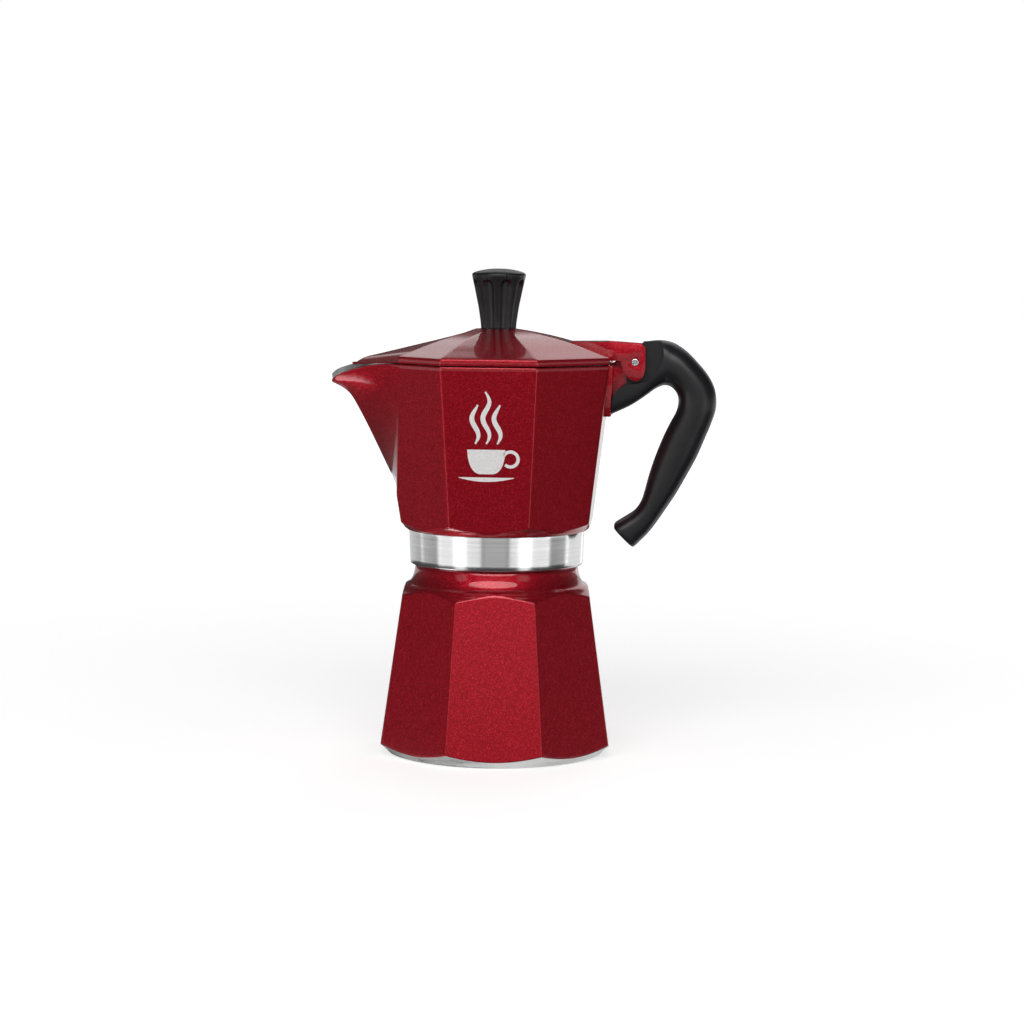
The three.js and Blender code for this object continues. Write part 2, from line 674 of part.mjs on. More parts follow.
function lidHollow() {
  const rim = lidRing({ ...LID_RIM, ridge: LID_RIM.ridge + 1.0 }, LID_SHEET, 1.2);
  const below = rim.map(({ x, y }) => new THREE.Vector3(x, y, 160));
  return loft([below, rim, ...LID_RINGS.slice(3).map((at) => lidRing(at, 0, LID_SHEET))]);
}

// The room above a flank, on one side of the lid.
function flankCut(side, drop) {
  const [rim, tip, hip] = [FLANK.rim, FLANK.tip, FLANK.hip].map((point) => new THREE.Vector3(...point));
  const normal = tip.sub(rim).cross(hip.sub(rim));
  const height = (x, y) => rim.z - (normal.x * (x - rim.x) + normal.y * (y - rim.y)) / normal.z;
  const corners = FLANK_PLAN.map(([x, y]) => new THREE.Vector3(x, side * y, height(x, y) - drop));
  const low = side > 0 ? corners : corners.reverse();
  return loft([low, low.map(({ x, y }) => new THREE.Vector3(x, y, 200))]);
}

function hingeEars() {
  const side = new THREE.Shape();
  side.moveTo(33, 176.8);
  side.lineTo(33, BRACKET_TOP);
  side.lineTo(49, BRACKET_TOP + 0.1);
  side.lineTo(64.6, BRACKET_TOP - 0.9);
  side.quadraticCurveTo(66.3, 184.6, 66.3, 183.0);
  side.lineTo(66.3, 174.0);
  side.quadraticCurveTo(65.8, 169.0, 62.3, 168.8);
  side.bezierCurveTo(58.5, 168.8, 56.0, 172.5, 55.4, 177.6);
  side.lineTo(51, 177.6);
  side.lineTo(50, 176.8);
  const plan = [
    [33, -5.2], [51.5, -EAR_OUTER], [68, -EAR_OUTER], [68, EAR_OUTER], [51.5, EAR_OUTER], [33, 5.2],
  ];
  const block = prism(plan.map(([x, y]) => new THREE.Vector2(x, y)), 165, 190);
  return plate(side, -EAR_OUTER, EAR_OUTER).intersect(block);
}

function lid() {
  const hingeEnd = box(47.6, 60, -12, 12, 150, 190);
  const slot = box(BRACKET_SLOT, 70, -EAR_INNER, EAR_INNER, 165, 195);
  const underside = plate(outline([...LID_UNDERSIDE, [80, 160], [-80, 160]]), -80, 80);
  const flanks = (drop) => flankCut(1, drop).add(flankCut(-1, drop));
  const hollow = lidHollow().subtract(hingeEnd).subtract(flanks(LID_SHEET));
  return loft(LID_RINGS.map((at) => lidRing(at)))
    .subtract(underside)
    .subtract(flanks(0))
    .add(hingeEars())
    .subtract(hollow)
    .subtract(slot)
    .subtract(crossBar(PIN.radius + RUNNING_GAP + 0.02, PIN.x, PIN.z, -20, 20))
    .subtract(disc(SCREW_RADIUS + 0.3, 180, 200, 16));
}

// ---- Knob and its screw -------------------------------------------------------------------------

function knob() {
  const top = KNOB_BASE + KNOB_HEIGHT;
  let made = turned([
    [0, KNOB_BASE],
    [KNOB_FOOT_RADIUS, KNOB_BASE],
    [8.5, KNOB_BASE + 6],
    [9.9, KNOB_BASE + 13.4],
    [11.4, KNOB_BASE + 20.5],
    [KNOB_CAP_RADIUS, KNOB_BASE + 23.6],
    [11.6, KNOB_BASE + 24.5],
    [8.6, KNOB_BASE + 25.5],
    [4.5, top + 0.4],
    [0, top + 0.6],
  ]);
  const fluteRadius = 2.4;
  const fluteLength = 22;
  for (let i = 0; i < KNOB_FLUTES; i++) {
    const flute = new THREE.CapsuleGeometry(fluteRadius, fluteLength, 2, 8)
      .rotateX(Math.PI / 2)
      .rotateY(THREE.MathUtils.degToRad(8.5))
      .translate(10.9, 0, KNOB_BASE + 8.2)
      .rotateZ(((i + 0.5) / KNOB_FLUTES) * 2 * Math.PI);
    made = made.subtract(solid(flute));
  }
  return made.subtract(disc(SCREW_RADIUS + 0.1, KNOB_BASE - 1, SCREW_TOP + 1, 16));
}

const knobWasher = () => ring(SCREW_RADIUS + 0.3, 5.4, WASHER_BOTTOM, WASHER_TOP, 24);

function knobScrew() {
  const head = WASHER_BOTTOM - 0.1;
  const shape = turned([
    [0, head - 2.2], [2.8, head - 2.2], [3.8, head - 1.2], [3.8, head], [SCREW_RADIUS, head],
    [SCREW_RADIUS, SCREW_TOP], [0, SCREW_TOP],
  ], 16);
  const slot = box(-2.2, 2.2, -0.4, 0.4, head - 3, head - 1);
  const crossSlot = slot.add(slot.rotate([0, 0, 90]));
  return shape.subtract(crossSlot);
}

// ---- Assembly -----------------------------------------------------------------------------------

const part = new THREE.Group();
part.add(
  piece("boiler", withBoiler(boiler()), redEnamel),
  piece("safety_valve_body", withBoiler(safetyValveBody()), brass),
  piece("safety_valve_washer", withBoiler(safetyValveWasher()), steel),
  piece("safety_valve_seal", withBoiler(safetyValveSeal()), silicone),
  piece("safety_valve_piston", withBoiler(safetyValvePiston()), steel),
  piece("safety_valve_spring", withBoiler(safetyValveSpring()), steel),
  piece("safety_valve_retainer", withBoiler(safetyValveRetainer()), brass),
  piece("funnel", funnel(), aluminium),
  piece("funnel_filter", funnelFilter(), aluminium),
  piece("gasket", gasket(), silicone),
  piece("filter_plate", filterPlate(), aluminium),
  piece("collector", collector(), redEnamel),
  piece("coffee_column", coffeeColumn(), aluminium),
  piece("handle", handle(), blackPlastic),
  piece("hinge_pin", hingePin(), steel),
  piece("lid", lid(), redEnamel),
  piece("knob", knob(), blackPlastic),
  piece("knob_washer", knobWasher(), steel),
  piece("knob_screw", knobScrew(), steel),
);

export default part;
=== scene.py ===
"""Looks of a stove-top moka pot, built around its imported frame.

Lengths are in millimetres in the row frame and become metres where a mesh is made.
"""

from math import acos, atan2, copysign, cos, pi, radians, sin, sqrt, tan

import bmesh
import bpy
from mathutils import Matrix, Vector


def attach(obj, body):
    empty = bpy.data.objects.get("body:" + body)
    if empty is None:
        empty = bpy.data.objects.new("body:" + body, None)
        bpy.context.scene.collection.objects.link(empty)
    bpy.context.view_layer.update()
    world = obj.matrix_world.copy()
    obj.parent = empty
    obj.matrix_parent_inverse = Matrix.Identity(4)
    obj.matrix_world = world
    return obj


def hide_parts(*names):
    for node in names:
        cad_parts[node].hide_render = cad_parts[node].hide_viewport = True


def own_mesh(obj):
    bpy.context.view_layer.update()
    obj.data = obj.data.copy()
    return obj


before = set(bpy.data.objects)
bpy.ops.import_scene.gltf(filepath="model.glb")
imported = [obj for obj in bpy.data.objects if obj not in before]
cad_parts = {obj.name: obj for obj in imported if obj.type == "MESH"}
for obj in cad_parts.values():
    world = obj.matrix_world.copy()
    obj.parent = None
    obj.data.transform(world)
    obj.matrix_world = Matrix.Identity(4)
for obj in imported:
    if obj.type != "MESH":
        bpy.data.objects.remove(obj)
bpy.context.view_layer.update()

MM = 0.001
HALF_SIDE = pi / 8  # half the angle that one of the eight facets spans
APOTHEM = cos(HALF_SIDE)
BOILER_TURN = radians(4.2)


# ---- Numbers and curves


def mix(a, b, t):
    return a + (b - a) * t


def polar(radius, angle, z):
    return Vector((radius * cos(angle), radius * sin(angle), z))


def box(low, high, bottom, top):
    """The four corners of a rectangle."""
    return [(low, bottom), (high, bottom), (high, top), (low, top)]


def softmin(a, b, width):
    """The smaller of two lengths, with the change between them eased over width."""
    near = max(width - abs(a - b), 0.0) / width
    return min(a, b) - near * near * width * 0.25


def along(points, x):
    """Value at x of straight lines through (x, value) points."""
    for (x0, v0), (x1, v1) in zip(points, points[1:]):
        if x <= x1:
            break
    return mix(v0, v1, (x - x0) / (x1 - x0))


def eased(points, x):
    """Value at x of a smooth curve through (x, value) points that keeps between its neighbours."""
    last = len(points) - 1
    x = min(max(x, points[0][0]), points[-1][0])
    i = next(i for i in range(last) if x <= points[i + 1][0])

    def slope(k):
        if k in (0, last):
            a, b = (0, 1) if k == 0 else (last - 1, last)
            return (points[b][1] - points[a][1]) / (points[b][0] - points[a][0])
        before = (points[k][1] - points[k - 1][1]) / (points[k][0] - points[k - 1][0])
        after = (points[k + 1][1] - points[k][1]) / (points[k + 1][0] - points[k][0])
        return 0.0 if before * after <= 0 else 2 * before * after / (before + after)

    (x0, v0), (x1, v1) = points[i], points[i + 1]
    h = x1 - x0
    t = (x - x0) / h
    return (
        (2 * t**3 - 3 * t**2 + 1) * v0
        + (t**3 - 2 * t**2 + t) * h * slope(i)
        + (3 * t**2 - 2 * t**3) * v1
        + (t**3 - t**2) * h * slope(i + 1)
    )


def crossing(difference, low, high):
    """Where a difference that is positive at low turns negative, or the other way round."""
    sign = difference(low) > 0
    for _ in range(40):
        middle = (low + high) / 2
        if (difference(middle) > 0) == sign:
            low = middle
        else:
            high = middle
    return (low + high) / 2


def spline(points, steps):
    """A smooth line through points, with a number of steps between each two."""
    out = []
    for i in range(len(points) - 1):
        p0, p1, p2 = points[max(i - 1, 0)], points[i], points[i + 1]
        p3 = points[min(i + 2, len(points) - 1)]
        for k in range(steps):
            t = k / steps
            curve = 2 * p1 + (p2 - p0) * t + (2 * p0 - 5 * p1 + 4 * p2 - p3) * t**2
            out.append(0.5 * (curve + (3 * p1 - p0 - 3 * p2 + p3) * t**3))
    return out + [points[-1].copy()]


# ---- Meshes


CREASE = 32  # degrees between two faces above which the edge between them is drawn sharp


def placed(name, data):
    obj = bpy.data.objects.new(name, data)
    bpy.context.scene.collection.objects.link(obj)
    return obj


def piece(name, body, slot, verts, faces, materials, marks=None, crease=CREASE):
    """A mesh piece that rides on a body. marks gives the material index of each face."""
    mesh = bpy.data.meshes.new(name)
    mesh.from_pydata([Vector(v) * MM for v in verts], [], faces)
    for material in materials:
        mesh.materials.append(material)
    if marks:
        mesh.polygons.foreach_set("material_index", marks)
    bm = bmesh.new()
    bm.from_mesh(mesh)
    bmesh.ops.remove_doubles(bm, verts=bm.verts, dist=2e-6)
    bmesh.ops.recalc_face_normals(bm, faces=bm.faces)
    bm.to_mesh(mesh)
    bm.free()
    obj = placed(name, mesh)
    finish_shading(obj, crease)
    if body:
        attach(obj, body)
    return obj


def finish_shading(obj, crease=CREASE):
    obj.data.shade_smooth()
    obj.data.set_sharp_from_angle(angle=radians(crease))


def skin(rows, ends=True):
    """Rows of points, each the same closed loop, joined by quads; the two end loops get a face."""
    count = len(rows[0])
    verts = [p for row in rows for p in row]
    faces = []
    for r in range(len(rows) - 1):
        for i in range(count):
            j = (i + 1) % count
            faces.append((r * count + i, r * count + j, (r + 1) * count + j, (r + 1) * count + i))
    if ends:
        last = (len(rows) - 1) * count
        faces.append(tuple(reversed(range(count))))
        faces.append(tuple(range(last, last + count)))
    return verts, faces


def ring_of(radius, z, segments):
    return [polar(radius, 2 * pi * i / segments, z) for i in range(segments)]


def rings(profile, segments, place):
    """A ring of points for each (radius, height) of a profile, moved into place."""
    return [[place @ p for p in ring_of(r, z, segments)] for r, z in profile]


def coated(rows, first, last):
    """A skin of rows, enamelled from row first to row last and bare metal elsewhere."""
    verts, faces = skin(rows, ends=False)
    count = len(rows[0])
    marks = [0 if first <= i // count < last else 1 for i in range(len(faces))]
    return verts, faces, [ENAMEL, ALUMINIUM], marks


def joined(solids):
    """Several closed skins as one list of points and one of faces."""
    verts, faces = [], []
    for rows in solids:
        v, f = skin(rows)
        faces += [tuple(k + len(verts) for k in face) for face in f]
        verts += v
    return verts, faces


def eased_profile(profile, size):
    """A closed profile of (radius, z) with each corner cut back to a short curve."""
    points = [Vector(p) for p in profile]
    out = []
    for i, here in enumerate(points):
        before, after = points[i - 1] - here, points[(i + 1) % len(points)] - here
        if here.x < 1e-6 or before.length < 1e-6 or after.length < 1e-6:
            out.append(here)
            continue
        a = here + before.normalized() * min(size, before.length * 0.45)
        b = here + after.normalized() * min(size, after.length * 0.45)
        out += [a, mix(mix(a, here, 0.5), mix(here, b, 0.5), 0.5), b]
    return [(p.x, p.y) for p in out]


def lathe(name, body, slot, profile, material, segments=96, ease=0.0, closed=True):
    """A closed profile of (radius, z) turned about Z."""
    if ease:
        profile = eased_profile(profile, ease)
    rows = [ring_of(max(r, 0.0), z, segments) for r, z in profile]
    if closed:
        rows.append(rows[0])
    return piece(name, body, slot, *skin(rows, ends=False), [material])


def plate(name, outline, y0, y1, material, body=None, slot=None, bevel=0.0):
    """An outline of (x, z) points made into a plate from y0 to y1."""
    rows = [[Vector((x, y, z)) for x, z in outline] for y in (y0, y1)]
    obj = piece(name, body, slot, *skin(rows), [material])
    if bevel:
        soften(obj, bevel)
    return obj


def apply_modifiers(obj):
    depsgraph = bpy.context.evaluated_depsgraph_get()
    mesh = bpy.data.meshes.new_from_object(obj.evaluated_get(depsgraph))
    obj.modifiers.clear()
    old = obj.data
    obj.data = mesh
    bpy.data.meshes.remove(old)


def soften(obj, width):
    """Sharp edges cut back to a small rounding."""
    bevel = obj.modifiers.new("edges", "BEVEL")
    bevel.width = width * MM
    bevel.segments = 3
    bevel.limit_method = "ANGLE"
    bevel.angle_limit = radians(28)
    apply_modifiers(obj)
    finish_shading(obj)


def cut(obj, tool, operation="DIFFERENCE"):
    """Cuts a closed tool out of an object, and removes the tool."""
    boolean = obj.modifiers.new("cut", "BOOLEAN")
    boolean.operation = operation
    boolean.solver = "EXACT"
    boolean.object = tool
    boolean.material_mode = "TRANSFER"
    apply_modifiers(obj)
    bpy.data.objects.remove(tool)


def dense(points, sizes, sides):
    """A closed loop through 3D points, each corner eased over its size and each side divided.

    sides gives, for the side after each point, the shares of its length at which it is divided.
    """
    corners = []
    for i, here in enumerate(points):
        before, after = points[i - 1] - here, points[(i + 1) % len(points)] - here
        if not sizes[i]:
            corners.append([here])
            continue
        a = here + before.normalized() * min(sizes[i], before.length * 0.2)
        b = here + after.normalized() * min(sizes[i], after.length * 0.2)
        steps = (0.0, 0.25, 0.5, 0.75, 1.0)
        corners.append([mix(mix(a, here, t), mix(here, b, t), t) for t in steps])
    out = []
    for i, corner in enumerate(corners):
        out += corner
        start, end = corner[-1], corners[(i + 1) % len(corners)][0]
        out += [mix(start, end, t) for t in sides[i]]
    return out


# ---- Materials


class Nodes:
    """A material's node tree, with its Principled shader and object coordinates at hand."""

    def __init__(self, name, **values):
        self.material = bpy.data.materials.new(name)
        self.material.use_nodes = True
        self.tree = self.material.node_tree
        self.shader = self.tree.nodes["Principled BSDF"]
        for key, value in values.items():
            self.shader.inputs[key.replace("_", " ")].default_value = value
        self.coordinates = self.tree.nodes.new("ShaderNodeTexCoord").outputs["Object"]

    def add(self, kind, links=(), **settings):
        node = self.tree.nodes.new(kind)
        for key, value in settings.items():
            if hasattr(node, key):
                setattr(node, key, value)
            else:
                node.inputs[key.replace("_", " ")].default_value = value
        for socket, source in dict(links).items():
            self.tree.links.new(source, node.inputs[socket])
        return node

    def stretched(self, x, y, z):
        """Object coordinates, scaled along each axis."""
        node = self.add("ShaderNodeMapping", {"Vector": self.coordinates})
        node.inputs["Scale"].default_value = (x, y, z)
        return node.outputs["Vector"]

    def noise(self, scale, detail=3.0, roughness=0.55, vector=None):
        links = {"Vector": vector or self.coordinates}
        node = self.add(
            "ShaderNodeTexNoise", links, Scale=scale, Detail=detail, Roughness=roughness
        )
        return node.outputs["Fac"]

    def ramp(self, factor, stops):
        node = self.add("ShaderNodeValToRGB", {"Fac": factor})
        ramp = node.color_ramp
        while len(ramp.elements) < len(stops):
            ramp.elements.new(0.5)
        for element, (position, colour) in zip(ramp.elements, stops):
            element.position = position
            element.color = (*colour, 1.0)
        return node.outputs["Color"]

    def span(self, factor, low, high, start=0.0, end=1.0):
        limits = {"From_Min": start, "From_Max": end, "To_Min": low, "To_Max": high}
        return self.add("ShaderNodeMapRange", {"Value": factor}, **limits).outputs["Result"]

    def link(self, socket, source):
        self.tree.links.new(source, self.shader.inputs[socket])

    def colour(self, factor, stops):
        self.link("Base Color", self.ramp(factor, stops))

    def rough(self, factor, low, high):
        """Roughness from low to high over the middle of a noise."""
        self.link("Roughness", self.span(factor, low, high, 0.3, 0.7))

    def bump(self, height, strength, distance):
        node = self.add("ShaderNodeBump", {"Height": height}, Strength=strength, Distance=distance)
        self.link("Normal", node.outputs["Normal"])


def flake_enamel():
    """Gloss red enamel over fine metallic flakes, each turned its own way."""
    n = Nodes(
        "red_flake_enamel", Metallic=0.75, Roughness=0.42, Specular_IOR_Level=0.15, Coat_Weight=1.0,
        Coat_Roughness=0.05, Coat_IOR=1.5
    )
    flakes = n.add("ShaderNodeTexVoronoi", {"Vector": n.coordinates}, Scale=5000.0)
    cell = n.add("ShaderNodeSeparateColor", {"Color": flakes.outputs["Color"]})
    cloud = n.noise(900.0, detail=4.0)
    mixed = n.add(
        "ShaderNodeMath", {0: cell.outputs["Red"], 1: cloud}, operation="MULTIPLY"
    ).outputs[0]
    reds = [
        (0.0, (0.31, 0.0015, 0.008)), (0.30, (0.44, 0.0030, 0.015)), (0.60, (0.72, 0.026, 0.055))
    ]
    n.colour(mixed, reds)
    normal = n.tree.nodes.new("ShaderNodeNewGeometry").outputs["Normal"]
    centred = n.add("ShaderNodeVectorMath", {0: flakes.outputs["Color"]}, operation="SUBTRACT")
    centred.inputs[1].default_value = (0.5, 0.5, 0.5)
    tilt = n.add("ShaderNodeVectorMath", {0: centred.outputs[0]}, operation="SCALE")
    tilt.inputs["Scale"].default_value = 0.25
    turned = n.add("ShaderNodeVectorMath", {0: normal, 1: tilt.outputs[0]}, operation="ADD")
    unit = n.add("ShaderNodeVectorMath", {0: turned.outputs[0]}, operation="NORMALIZE")
    n.link("Normal", unit.outputs[0])
    return n.material


def bare_aluminium():
    n = Nodes("bare_aluminium", Metallic=1.0)
    tone = 0.74
    cast = n.noise(260.0, detail=5.0)
    fine = n.noise(2600.0, detail=3.0)
    n.colour(cast, [(0.3, (tone * 0.86,) * 3), (0.7, (tone, tone, tone * 0.985))])
    n.rough(cast, 0.26, 0.44)
    n.bump(fine, 0.35, 0.00012)
    return n.material


def turned_aluminium():
    """Aluminium finished on a lathe: fine grooves that run round the axis."""
    n = Nodes("turned_aluminium", Metallic=1.0)
    grooves = n.noise(1.0, detail=4.0, roughness=0.7, vector=n.stretched(9.0, 9.0, 5200.0))
    broad = n.noise(1.0, detail=2.0, vector=n.stretched(22.0, 22.0, 900.0))
    n.colour(grooves, [(0.25, (0.66, 0.66, 0.67)), (0.75, (0.86, 0.86, 0.86))])
    n.rough(broad, 0.12, 0.17)
    n.bump(grooves, 0.05, 0.00002)
    return n.material


def bright_steel():
    n = Nodes("bright_steel", Metallic=1.0)
    wear = n.noise(900.0, detail=4.0)
    n.colour(wear, [(0.3, (0.64, 0.64, 0.65)), (0.7, (0.78, 0.78, 0.79))])
    n.rough(wear, 0.18, 0.34)
    n.bump(wear, 0.15, 0.00005)
    return n.material


def machined_brass():
    n = Nodes("machined_brass", Metallic=1.0)
    tarnish = n.noise(300.0, detail=5.0)
    golds = [(0.3, (0.48, 0.31, 0.11)), (0.6, (0.70, 0.51, 0.22)), (0.8, (0.80, 0.62, 0.31))]
    n.colour(tarnish, golds)
    n.rough(tarnish, 0.22, 0.42)
    n.bump(n.noise(3000.0), 0.2, 0.00005)
    return n.material


def black_plastic():
    """Moulded black plastic with a fine satin grain."""
    n = Nodes("moulded_black_plastic", IOR=1.5)
    grain = n.noise(3200.0, detail=3.0, roughness=0.6)
    broad = n.noise(90.0, detail=3.0)
    n.colour(broad, [(0.3, (0.008, 0.008, 0.0095)), (0.7, (0.013, 0.013, 0.0155))])
    n.rough(grain, 0.30, 0.41)
    n.bump(grain, 0.22, 0.00008)
    return n.material


def silicone_rubber():
    n = Nodes("silicone_rubber", Subsurface_Weight=0.15, Subsurface_Scale=0.002)
    haze = n.noise(150.0, detail=4.0)
    n.colour(haze, [(0.3, (0.72, 0.69, 0.62)), (0.7, (0.84, 0.82, 0.76))])
    n.rough(haze, 0.48, 0.64)
    n.bump(n.noise(1800.0), 0.2, 0.0001)
    return n.material


def white_ink():
    """Screen-printed off-white ink, a little thinner in places."""
    n = Nodes("printed_white_ink")
    print_grain = n.noise(1500.0, detail=3.0)
    n.colour(print_grain, [(0.25, (0.80, 0.74, 0.74)), (0.6, (0.93, 0.92, 0.91))])
    n.rough(print_grain, 0.32, 0.50)
    return n.material


ENAMEL = flake_enamel()
ALUMINIUM = bare_aluminium()
TURNED = turned_aluminium()
STEEL = bright_steel()
BRASS = machined_brass()
PLASTIC = black_plastic()
SILICONE = silicone_rubber()
INK = white_ink()


# ---- Boiler

BOILER_CORNER = [(5.7, 55.35), (72.2, 45.4)]  # height and corner radius of the eight-sided cone
# Height and radius of the turned surfaces that end the facets in arches.
BOILER_TRIM = [
    (0.0, 48.7), (2.7, 51.2), (5.7, 55.35), (8.2, 58.0), (60.0, 58.0), (72.2, 45.4), (74.1, 42.4),
    (76.0, 40.9)
]
TRIM_EASE = 0.5  # how far the meeting of a facet and a turned surface is eased
EDGE = 0.55  # how far the edges between facets are eased


def facet_radius(angle, corner):
    """Distance from the axis to an octagon's side, in a direction, with its corners eased."""
    off = (angle + HALF_SIDE) % (2 * HALF_SIDE) - HALF_SIDE
    here = corner * APOTHEM / cos(off)
    beside = corner * APOTHEM / cos(2 * HALF_SIDE - abs(off))
    return softmin(here, beside, EDGE)


def facet_angles(turn):
    """Directions over the whole circle, close together at the corners."""
    steps = (-22.5, -22.1, -21.6, -21.0, -20.2, -18.5, -15.5, -12, -8, -4, 0)
    steps = steps + tuple(-s for s in reversed(steps[1:-1]))
    return [turn + radians(side * 45 + s) for side in range(8) for s in steps]


def boiler():
    angles = facet_angles(BOILER_TURN)
    columns = []
    for angle in angles:
        flat = lambda z: facet_radius(angle - BOILER_TURN, along(BOILER_CORNER, z))
        gap = lambda z: flat(z) - along(BOILER_TRIM, z)
        low, high = crossing(gap, 0.5, 8.2), crossing(gap, 60.0, 75.9)
        heights = [0.15] + [low * t for t in (0.2, 0.45, 0.7, 0.85)]
        heights += [low + d for d in (-0.45, -0.2, 0.0, 0.2, 0.45, 0.8, 1.4)]
        heights += [mix(low + 1.4, high - 1.4, t / 10) for t in range(1, 10)]
        heights += [high + d for d in (-1.4, -0.8, -0.4, -0.15, 0.1, 0.4, 0.8)]
        heights += [mix(high + 0.8, 76.0, t) for t in (0.3, 0.6, 1.0)]
        radii = [softmin(flat(z), along(BOILER_TRIM, z), TRIM_EASE) for z in heights]
        columns.append([polar(r, angle, z) for r, z in zip(radii, heights)])
    outside = [list(row) for row in zip(*columns)]

    def round_rows(profile):
        return [[polar(r, a, z) for a in angles] for r, z in profile]

    base = round_rows([
        (0.0, 0.55), (20.0, 0.55), (44.6, 0.5), (45.4, 0.1), (45.9, 0.0), (48.5, 0.0)
    ])
    neck = round_rows([
        (39.9, 76.45), (39.1, 77.1), (38.5, 77.9), (38.0, 78.9), (37.6, 80.0), (37.2, 81.3),
        (36.9, 83.0), (36.7, 84.6), (36.4, 85.0)
    ])
    mouth = round_rows([
        (34.5, 85.0), (34.2, 85.3), (34.2, 96.7), (34.0, 97.2), (33.5, 97.6), (31.2, 97.6),
        (30.75, 97.4), (30.6, 96.8), (30.6, 83.0), (31.4, 80.2), (33.2, 77.6), (38.2, 69.5),
        (46.6, 9.0), (45.4, 5.6), (42.5, 4.3), (0.0, 4.2)
    ])
    first, last = len(base) + 7, len(base) + len(outside) + len(neck) - 1
    solid = coated(base + outside + neck + mouth, first, last)
    made = piece("boiler_shell", "boiler_body", "red_enamel", *solid)
    cut(made, valve_turned("spot_face", box(0, 9.0, 44.0, 64.0), ALUMINIUM, None))
    cut(made, valve_turned("valve_hole", box(0, 4.8, 30.0, 60.0), ALUMINIUM, None))
    finish_shading(made)
    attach(made, "boiler_body")
    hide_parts("boiler")
    thread("boiler_thread", "boiler_body", 33.9, 35.3, 87.0)


def thread(name, body, root, crest, start):
    """Three turns of a rounded helical ridge that fades in and out."""
    steps, turns, pitch = 80, 3, 3.0
    rows = []
    for step in range(steps * turns + 1):
        turn = step / steps
        angle = 2 * pi * turn
        rise = min(1.0, turn / 0.12, (turns - turn) / 0.12)
        top = mix(root, crest, max(rise, 0.05))
        section = [(root, -0.75), (mix(root, top, 0.85), -0.42), (top, -0.2)]
        section += [(r, -z) for r, z in reversed(section)]
        rows.append([polar(r, angle, start + pitch * turn + z) for r, z in section])
    piece(name, body, "bare_aluminium", *skin(rows), [ALUMINIUM], crease=50)


# ---- Safety valve

VALVE_FRAME = (
    Matrix.Rotation(BOILER_TURN, 4, "Z")
    @ Matrix.Translation((0, 0, 50.0))
    @ Matrix.Rotation(-pi / 2, 4, "X")
)


def valve_turned(name, profile, material, body, slot="steel", segments=40, ease=0.0):
    """A closed profile of (radius, distance from the boiler's axis) turned about the valve."""
    if ease:
        profile = eased_profile(profile, ease)
    rows = rings(profile, segments, VALVE_FRAME)
    return piece(name, body, slot, *skin(rows + rows[:1], ends=False), [material])


def safety_valve():
    segments, flats = 96, 6.5
    start, end = 45.2, 50.2

    def hexagon(angle):
        off = (angle + pi / 6) % (pi / 3) - pi / 6
        return flats / cos(off)

    rows = []
    chamfer = [(start, 6.6), (start + 0.25, 7.1), (start + 0.9, 8.0)]
    chamfer += [(end - 1.1, 8.0), (end - 0.3, 7.0), (end, 6.5)]
    for y, limit in chamfer:
        ring = ring_of(1.0, y, segments)
        for p in ring:
            r = softmin(hexagon(atan2(p.y, p.x)), limit, 0.3)
            p.x, p.y = p.x * r, p.y * r
        rows.append([VALVE_FRAME @ p for p in ring])
    nose = [(4.6, end), (4.4, end + 0.2), (4.4, 52.9), (4.1, 53.2), (3.3, 53.2), (3.2, 53.1)]
    bore = [(3.2, 41.1), (3.1, 41.0), (1.8, 41.0), (1.8, 37.5)]
    shank = [(4.2, 37.5), (4.4, 37.8), (4.4, start - 0.1), (4.5, start)]
    rows += rings(nose + bore + shank, segments, VALVE_FRAME) + rows[:1]
    solid = skin(rows, ends=False)
    body = piece("valve_hex_body", "boiler_body", "brass", *solid, [BRASS], crease=30)
    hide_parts("safety_valve_body")

    ring = box(4.9, 7.4, 44.1, 45.1)
    made = valve_turned("valve_washer", ring, STEEL, "boiler_body", segments=64, ease=0.2)
    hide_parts("safety_valve_washer")
    ring = box(1.5, 3.1, 51.2, 52.8)
    made = valve_turned("valve_retainer", ring, BRASS, "boiler_body", "brass", ease=0.2)
    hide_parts("safety_valve_retainer")
    ring = box(1.0, 2.8, 41.1, 42.2)
    made = valve_turned("valve_seal", ring, SILICONE, "valve_plunger", "silicone", ease=0.3)
    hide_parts("safety_valve_seal")
    stem = [(0, 41.2), (0.8, 41.2), (0.8, 42.3), (2.9, 42.3), (2.9, 43.8), (1.2, 43.8)]
    stem += [(1.2, 54.2), (0.8, 54.9), (0, 54.9)]
    made = valve_turned("valve_piston", stem, STEEL, "valve_plunger", ease=0.12)
    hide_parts("safety_valve_piston")
    valve_spring()


def valve_spring():
    wire, coil, turns, steps = 0.35, 2.1, 4, 30
    start, end = 44.3, 50.7
    rows = []
    for step in range(turns * steps + 1):
        t = step / (turns * steps)
        angle = 2 * pi * turns * t
        out = polar(1, angle, 0)
        centre = out * coil + Vector((0, 0, mix(start, end, t)))
        circle = (2 * pi * k / 10 for k in range(10))
        ring = [centre + out * wire * cos(a) + Vector((0, 0, wire * sin(a))) for a in circle]
        rows.append([VALVE_FRAME @ p for p in ring])
    made = piece("valve_spring", "boiler_body", "steel", *skin(rows), [STEEL], crease=60)
    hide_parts("safety_valve_spring")
    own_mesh(made)


# ---- Funnel, gasket and filters


HOLE_RADIUS = 0.5
HOLE_CIRCLES = [(3.6 * k, 6 * k) for k in range(1, 7)]  # radius and number of holes


def perforate(obj, z0, z1):
    """Small round holes through a disc."""
    holes = []
    for reach, count in HOLE_CIRCLES:
        for i in range(count):
            centre = polar(reach, 2 * pi * i / count, 0)
            holes.append([[centre + p for p in ring_of(HOLE_RADIUS, z, 10)] for z in (z0, z1)])
    cut(obj, piece("holes", None, None, *joined(holes), [ALUMINIUM]))
    finish_shading(obj)


